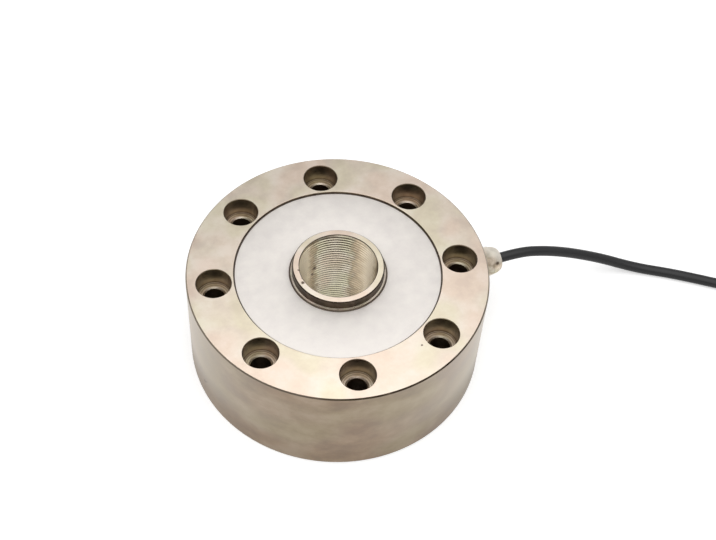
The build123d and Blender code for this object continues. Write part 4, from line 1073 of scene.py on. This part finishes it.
# Cable: four cores and a drain wire under a black PVC jacket. It leaves the gland straight, falls to the
# surface in an easy curve and goes on to the coil of the unseen length, and to its end by the shrink sleeve.
CABLE_DIAMETER = 4.5 * MM
CABLE_ROUTE = [
    (10.2, 0.0, 23.5),
    (20.8, -0.9, 21.0),
    (31.4, -2.0, 17.0),
    (41.8, -3.6, 12.3),
    (51.6, -5.8, 7.8),
    (60.4, -9.1, 4.1),
    (68.9, -13.4, 2.25),
    (78.2, -19.0, 2.25),
    (88.2, -25.9, 2.25),
    (98.6, -33.5, 2.25),
]
COIL_CENTRE = Vector((MOUTH_X + 153.7 * MM, -27.2 * MM, 0))
TURN_PITCH = 4.6 * MM
TURN_RADII = [33.9 * MM - TURN_PITCH * column for column in range(4)]
TURN_ROWS = 4
TURNS = TURN_ROWS * len(TURN_RADII)
POINTS_A_TURN = 18
FLOOR_TURN_Z = 3.05 * MM
TOP_TURN_Z = FLOOR_TURN_Z + TURN_ROWS * TURN_PITCH
ENTRY_ANGLE = -120
LEAVING_ANGLE = -60
COIL_STUB = 19.0 * MM
COIL_APPROACH = 12.5 * MM
COIL_DEPARTURE = 12.8 * MM
STEP_IN = (250, 320)
STEP_UP = (300, 360)
TAIL_ROUTE = [
    (52.0, -3.5, 18.4),
    (55.0, 7.6, 12.6),
    (54.8, 18.9, 6.6),
    (52.2, 30.9, 3.0),
]
TAIL_END = COIL_CENTRE + Vector((46.4, 51.6, 2.7)) * MM
TAIL_HEADING = polar(1, 105)
SLEEVE_APPROACH = 10.0 * MM
SLEEVE_LAP = 8.0 * MM


def coil_point(angle, onward, z):
    """On the outermost turn at an angle, then moved straight on along its tangent."""
    return COIL_CENTRE + polar(TURN_RADII[0], angle, z) + polar(onward, angle + 90)


def turn_place(number):
    """Radius and height of one turn: rows from the bottom, the first from the outside inwards."""
    row, step = divmod(number, len(TURN_RADII))
    if number >= TURNS:
        return TURN_RADII[0], TOP_TURN_Z
    column = step if row % 2 == 0 else len(TURN_RADII) - 1 - step
    return TURN_RADII[column], FLOOR_TURN_Z + row * TURN_PITCH


def eased(angle, low, high):
    share = min(max((angle - low) / (high - low), 0), 1)
    return share * share * (3 - 2 * share)


def coil_points():
    """Control points of all the turns. Each turn shifts by a place over one short stretch of its way round.
    The spline runs a little inside its control points, so they lie that much further out."""
    step = 360 / POINTS_A_TURN
    outside = 1 / (0.75 + 0.25 * math.cos(math.radians(step)))
    count = TURNS * POINTS_A_TURN + int((LEAVING_ANGLE - ENTRY_ANGLE) / step)
    points = []
    for number in range(count):
        turn, round_so_far = divmod((number + 0.5) * step, 360)
        radius, height = turn_place(int(turn))
        if turn < TURNS:
            next_radius, next_height = turn_place(int(turn) + 1)
            radius += (next_radius - radius) * eased(round_so_far, *STEP_IN)
            height += (next_height - height) * eased(round_so_far, *STEP_UP)
        points.append(COIL_CENTRE + polar(radius * outside, ENTRY_ANGLE + (number + 0.5) * step, height))
    return points


def smooth_cord(name, points, diameter, resolution=6):
    """A round cord on one smooth spline with these control points."""
    curve = bpy.data.curves.new(name, "CURVE")
    curve.dimensions = "3D"
    spline = curve.splines.new("NURBS")
    spline.points.add(len(points) - 1)
    for place, point in zip(spline.points, points):
        place.co = (*point, 1.0)
    spline.order_u = 3
    spline.use_endpoint_u = True
    curve.resolution_u = resolution
    curve.bevel_depth = diameter / 2
    curve.bevel_resolution = 5
    curve.use_fill_caps = True
    cord = bpy.data.objects.new(name, curve)
    bpy.context.scene.collection.objects.link(cord)
    return cord


# Soft black PVC, extruded over a braid: satin and slightly uneven, and painted greyer on top as painted
# light.
pvc_jacket = cloudy("black_pvc_jacket", ("#0C0C0E", "#141416"), 6 * MM, (0.34, 0.44), 0.6 * MM, 0.03 * MM,
                    top_light_tone="#373738", gloss=0.3)

cable_points = [Vector((MOUTH_X, 0, MID_HEIGHT))]
cable_points += [Vector((MOUTH_X + x * MM, y * MM, z * MM)) for x, y, z in CABLE_ROUTE]
cable_points.append(coil_point(ENTRY_ANGLE, -COIL_STUB - COIL_APPROACH, FLOOR_TURN_Z))
cable_points.append(coil_point(ENTRY_ANGLE, -COIL_STUB, FLOOR_TURN_Z))
cable_points += coil_points()
cable_points.append(coil_point(LEAVING_ANGLE, COIL_STUB, TOP_TURN_Z))
cable_points.append(coil_point(LEAVING_ANGLE, COIL_STUB + COIL_DEPARTURE, TOP_TURN_Z))
cable_points += [COIL_CENTRE + Vector(point) * MM for point in TAIL_ROUTE]
cable_points.append(TAIL_END - TAIL_HEADING * SLEEVE_APPROACH)
cable_points.append(TAIL_END + TAIL_HEADING * SLEEVE_LAP)
cable = smooth_cord("cable", cable_points, CABLE_DIAMETER)
dress(cable, pvc_jacket, "cable_jacket", "cable_run", "cable_coil", "cable_tail", "jacket_end")
coat(pvc_jacket, "cable_inner_end")


# Coil ties: two nylon cable ties pulled tight round the coil, each a moulded strap through its own ratchet
# head, with the tail cut off a little inside the head's top.
TIE_ANGLES = (20, 200)
TIE_WIDTH = 2.5 * MM
TIE_THICKNESS = 0.8 * MM
TIE_EDGE = 0.2 * MM
TIE_HEAD = Vector((3.0, 4.2, 4.8)) * MM
TIE_HEAD_EDGE = 0.5 * MM
TIE_HEAD_STANDOFF = 0.2 * MM
TIE_SLOT = Vector((1.2, 3.0, 1.4)) * MM
TIE_TAIL_DROP = 0.35 * MM
TIE_TAIL_SINK = 0.1 * MM
COIL_INSIDE = TURN_RADII[-1] - CABLE_DIAMETER / 2
COIL_OUTSIDE = TURN_RADII[0] + CABLE_DIAMETER / 2
COIL_BOTTOM = FLOOR_TURN_Z - CABLE_DIAMETER / 2
COIL_TOP = COIL_BOTTOM + (TURN_ROWS - 1) * TURN_PITCH + CABLE_DIAMETER
CORNER_STEPS = 10


def tie_strap():
    """Points and faces of the strap, as a flat band with eased edges carried round the bundle of turns."""
    out, radius = TIE_THICKNESS / 2, CABLE_DIAMETER / 2 + TIE_THICKNESS / 2
    low, high = COIL_INSIDE - out, COIL_OUTSIDE + out
    loop = rounded([(high, COIL_BOTTOM - out, radius), (high, COIL_TOP + out, radius),
                    (low, COIL_TOP + out, radius), (low, COIL_BOTTOM - out, radius)], CORNER_STEPS)
    band = rounded([(*corner, TIE_EDGE) for corner in rectangle(TIE_WIDTH, TIE_THICKNESS)], 2)
    points, faces = [], []
    rows = len(band)
    for number, place in enumerate(loop):
        along = (loop[(number + 1) % len(loop)] - loop[number - 1]).normalized()
        outwards = Vector((along.y, -along.x))
        for across, up in band:
            spot = place + outwards * up
            points.append(Vector((spot.x, across, spot.y)))
        here, there = number * rows, (number + 1) % len(loop) * rows
        faces += [(here + n, there + n, there + (n + 1) % rows, here + (n + 1) % rows) for n in range(rows)]
    return points, faces


def moulded_block(name, size, edge, centre):
    """A block with all its edges rounded, as a mould leaves them."""
    work = bmesh.new()
    bmesh.ops.create_cube(work, size=1.0, matrix=Matrix.Translation(centre) @ Matrix.Diagonal((*size, 1)))
    bmesh.ops.bevel(work, geom=list(work.edges), offset=edge, segments=3, affect="EDGES", profile=0.5)
    work.verts.index_update()
    points = [vertex.co.copy() for vertex in work.verts]
    faces = [tuple(vertex.index for vertex in face.verts) for face in work.faces]
    work.free()
    return mesh_piece(name, points, faces)


def coil_tie(name, angle):
    """The head with its slot, the strap round the bundle and the cut tail in the slot, turned to an angle."""
    head_middle = Vector((COIL_OUTSIDE + TIE_HEAD_STANDOFF + TIE_HEAD.x / 2, 0, (COIL_TOP + COIL_BOTTOM) / 2))
    tie = moulded_block(name, TIE_HEAD, TIE_HEAD_EDGE, head_middle)
    head_top = head_middle.z + TIE_HEAD.z / 2
    slot = rectangle(TIE_SLOT.x, TIE_SLOT.y, head_middle.x)
    carve(tie, [prism(slot, head_top - TIE_SLOT.z, head_top + MM)])
    tail_section = rectangle(TIE_THICKNESS, TIE_WIDTH, head_middle.x)
    tail = prism(tail_section, head_top - TIE_SLOT.z - TIE_TAIL_SINK, head_top - TIE_TAIL_DROP)
    work = bmesh.new()
    work.from_mesh(tie.data)
    for points, faces in (tie_strap(), tail):
        verts = [work.verts.new(point) for point in points]
        for face in faces:
            work.faces.new([verts[index] for index in face])
    bmesh.ops.recalc_face_normals(work, faces=work.faces)
    work.transform(Matrix.Translation(COIL_CENTRE) @ Matrix.Rotation(math.radians(angle), 4, "Z"))
    work.to_mesh(tie.data)
    work.free()
    shade(tie)
    even_shading(tie)
    return tie


ties = [coil_tie(f"coil_tie_{number + 1}", angle) for number, angle in enumerate(TIE_ANGLES)]
for tie in ties:
    dress(tie, moulded_nylon, "nylon_black", "coil_ties")


# Shrink sleeve: a short black polyolefin tube, shrunk over the end of the jacket and down on to the cores. It
# holds the cut braid in and keeps damp out of the cable.
CORE_DIAMETER = 1.3 * MM
CORE_GAP = 0.05 * MM
CORE_RING_ANGLES = {"red": 162, "black": -126, "white": 90, "green": -54, "drain": 18}
CORE_RING_RADIUS = (CORE_DIAMETER + CORE_GAP) / 2 / math.sin(math.pi / len(CORE_RING_ANGLES))
SLEEVE_LENGTH = 18.0 * MM
SLEEVE_RADIUS = 2.7 * MM
SLEEVE_NOSE_RADIUS = CORE_RING_RADIUS + CORE_DIAMETER / 2 + 0.5 * MM
SLEEVE_TAPER = 2.0 * MM
SLEEVE_EDGE = 0.25 * MM
SLEEVE_BEND = 4.0 * MM
SLEEVE_COLUMNS = 48

# Shrunk polyolefin: black and satin, rippled a little where it drew in.
shrunk_polyolefin = cloudy("shrunk_polyolefin", ("#171719", "#212124"), 4 * MM, (0.4, 0.52), 1.2 * MM,
                           0.12 * MM)

sleeve_outline = rounded([
    (CABLE_DIAMETER / 2, 0), (SLEEVE_RADIUS, 0, SLEEVE_EDGE), (SLEEVE_RADIUS, SLEEVE_LAP, SLEEVE_BEND),
    (SLEEVE_NOSE_RADIUS, SLEEVE_LAP + SLEEVE_TAPER, SLEEVE_BEND),
    (SLEEVE_NOSE_RADIUS, SLEEVE_LENGTH, SLEEVE_EDGE),
    (0, SLEEVE_LENGTH), (0, SLEEVE_LAP), (CABLE_DIAMETER / 2, SLEEVE_LAP),
])
sleeve_place = facing(TAIL_HEADING, TAIL_END)
sleeve = mesh_piece("jacket_sleeve_shrunk", *turned(sleeve_outline, SLEEVE_COLUMNS, sleeve_place))
dress(sleeve, shrunk_polyolefin, "shrink_sleeve", "jacket_sleeve")


# Leads: the four insulated cores and the bare drain wire fan out of the sleeve and lie on the surface. Their
# ends are stripped, and the twisted copper strands are dipped in tin.
NOSE_STRAIGHT = 3.5 * MM
TIP_DIAMETER = 0.7 * MM
TIP_LENGTH = 6.0 * MM
TIP_LAY = 9.0 * MM
TIP_STEPS = 14
DRAIN_LAY = 12.0 * MM
STRAND_SIDES = 8
LEAD_ROUTES = {
    "red": [(9, -2.3, 2.6), (16, -4.6, 1.1), (24, -6.2, 0.65), (35, -9.6, 0.65)],
    "black": [(10, -1.4, 1.3), (18, -2.6, 0.65), (28, -3.1, 0.65), (39, -5.0, 0.65)],
    "white": [(9, 0.1, 3.4), (16, 0.5, 2.0), (24, 1.2, 0.65), (36, 0.6, 0.65)],
    "green": [(10, 1.6, 1.3), (18, 3.3, 0.65), (27, 4.4, 0.65), (38, 7.0, 0.65)],
    "drain": [(9, 2.4, 2.6), (16, 5.2, 1.1), (23, 7.8, 0.65), (33, 12.4, 0.65)],
}
LEAD_LENGTHS = {"red": 0.0363, "black": 0.0393, "white": 0.0363, "green": 0.0386, "drain": 0.0353}


def nose_point(along, across, z):
    """Measured from the sleeve's nose: along it, across it and up from the floor."""
    sideways = Vector((TAIL_HEADING.y, -TAIL_HEADING.x, 0))
    place = TAIL_END + TAIL_HEADING * (SLEEVE_LENGTH + along) + sideways * across
    return Vector((place.x, place.y, z))


def lead_points(core):
    place = polar(CORE_RING_RADIUS, CORE_RING_ANGLES[core])
    height = TAIL_END.z + place.y
    points = [nose_point(0, place.x, height), nose_point(NOSE_STRAIGHT, place.x, height)]
    return points + [nose_point(along * MM, across * MM, z * MM) for along, across, z in LEAD_ROUTES[core]]


def smooth_line(points):
    """Places along the smooth spline that has these control points."""
    route = smooth_cord("route", points, 0, resolution=10)
    mesh = bpy.data.meshes.new_from_object(route.evaluated_get(bpy.context.evaluated_depsgraph_get()))
    line = [vertex.co.copy() for vertex in mesh.vertices]
    bpy.data.objects.remove(route)
    return line


def strands(line, diameter, lay):
    """Seven strands along a line of places: one in the middle and six twisted round it."""
    radius = diameter / 6
    twisted = [rod_along(line, radius, STRAND_SIDES, 2 * radius, 60 * number, lay) for number in range(6)]
    return joined(rod_along(line, radius, STRAND_SIDES), *twisted)


for core, finish in (INSULATION | {"drain": tinned_copper}).items():
    points = lead_points(core)
    heading = (points[-1] - points[-2]).normalized()
    tip_line = [points[-1] + heading * (TIP_LENGTH * step / TIP_STEPS) for step in range(TIP_STEPS + 1)]
    tip = mesh_piece(f"lead_tip_{core}", *strands(tip_line, TIP_DIAMETER, TIP_LAY))
    dress(tip, tinned_copper, "tinned_copper", "lead_tips")
    facts = {"exit": points[0], "length": LEAD_LENGTHS[core], "diameter": CORE_DIAMETER, "far_end": "bare",
             "stiffness": "limp", "lay": "loose", "with_pieces": [tip]}
    if core == "drain":
        facts["path"] = smooth_line(points)
        lead = mesh_piece("lead_drain_twisted", *strands(facts["path"], CORE_DIAMETER, DRAIN_LAY))
        dress(lead, finish, "tinned_copper", "lead_drain")
    else:
        lead = smooth_cord(f"lead_{core}_insulated", points, CORE_DIAMETER)
        dress(lead, finish, f"insulation_{core}", f"lead_{core}")


# Studio: the cell lies on a matt white board under one wide overhead softbox, seen as in the photograph. The
# softbox makes the soft shadow round the foot, and the pale room fills in the sides.
FLOOR_SIZE = 12.0
FLOOR_LIFT = 0.45
VIEW_HEADING = 90 - 24.7
SOFTBOX_SIZE = 1.5
SOFTBOX_HEIGHT = 0.9
SOFTBOX_FAR_CORNER = 0.77
SOFTBOX_ASIDE = 0.03
SOFTBOX_RADIANCE = 1.2
ROOM_STRENGTH = 0.4
CAMERA_PLACE = Vector((-129.742, -300.965, 471.721)) * MM
CAMERA_AIM = Vector((7.642, -2.268, 47.0)) * MM
CAMERA_ROLL = 4.0266
CAMERA_LENS = 67.2106


def studio_board():
    """Matt white board, lit to white where nothing shades it."""
    material, tree, place = new_material("studio_board")
    path = add_node(tree, "LightPath").outputs
    seen = path["Is Camera Ray"]
    for ray in ("Is Glossy Ray", "Is Transmission Ray"):
        seen = add_node(tree, "Math", {0: seen, 1: path[ray]}, {"operation": "MAXIMUM"})
    lift = add_node(tree, "Math", {0: seen, 1: FLOOR_LIFT}, {"operation": "MULTIPLY"})
    board = add_node(tree, "BsdfDiffuse", {"Color": to_linear("#F2F2F2")})
    glow = add_node(tree, "Emission", {"Color": to_linear("#FFFFFF"), "Strength": lift})
    add_node(tree, "OutputMaterial", {"Surface": add_node(tree, "AddShader", {0: board, 1: glow})})
    return material


corners = [(*corner, 0) for corner in rectangle(FLOOR_SIZE, FLOOR_SIZE)]
floor = mesh_piece("floor", corners, [(0, 1, 2, 3)])
floor.data.materials.append(studio_board())

# The softbox hangs level, with one corner straight away from the view, so that the light on the rim falls off
# towards the back on both sides. Its power is worked out from how bright its face is.
lamp = bpy.data.lights.new("overhead_softbox", "AREA")
lamp.shape = "SQUARE"
lamp.size = SOFTBOX_SIZE
lamp.energy = math.pi * SOFTBOX_SIZE * SOFTBOX_SIZE * SOFTBOX_RADIANCE
softbox = bpy.data.objects.new("overhead_softbox", lamp)
softbox.location = (polar(SOFTBOX_FAR_CORNER - SOFTBOX_SIZE / math.sqrt(2), VIEW_HEADING, SOFTBOX_HEIGHT)
                    + polar(SOFTBOX_ASIDE, VIEW_HEADING - 90))
softbox.rotation_euler = (0, 0, math.radians(VIEW_HEADING + 45))
bpy.context.scene.collection.objects.link(softbox)

world = bpy.data.worlds.new("studio")
bpy.context.scene.world = world
world.use_nodes = True
world.node_tree.nodes["Background"].inputs["Color"].default_value = to_linear("#FFFFFF")
world.node_tree.nodes["Background"].inputs["Strength"].default_value = ROOM_STRENGTH

lens = bpy.data.cameras.new("camera")
lens.lens = CAMERA_LENS
lens.sensor_width = 36.0
lens.clip_start = 0.01
camera = bpy.data.objects.new("camera", lens)
camera.location = CAMERA_PLACE
camera.rotation_mode = "QUATERNION"
aim = (CAMERA_AIM - CAMERA_PLACE).to_track_quat("-Z", "Y")
camera.rotation_quaternion = aim @ Matrix.Rotation(math.radians(CAMERA_ROLL), 3, "Z").to_quaternion()
bpy.context.scene.collection.objects.link(camera)
bpy.context.scene.camera = camera
bpy.context.scene.view_settings.view_transform = "Standard"
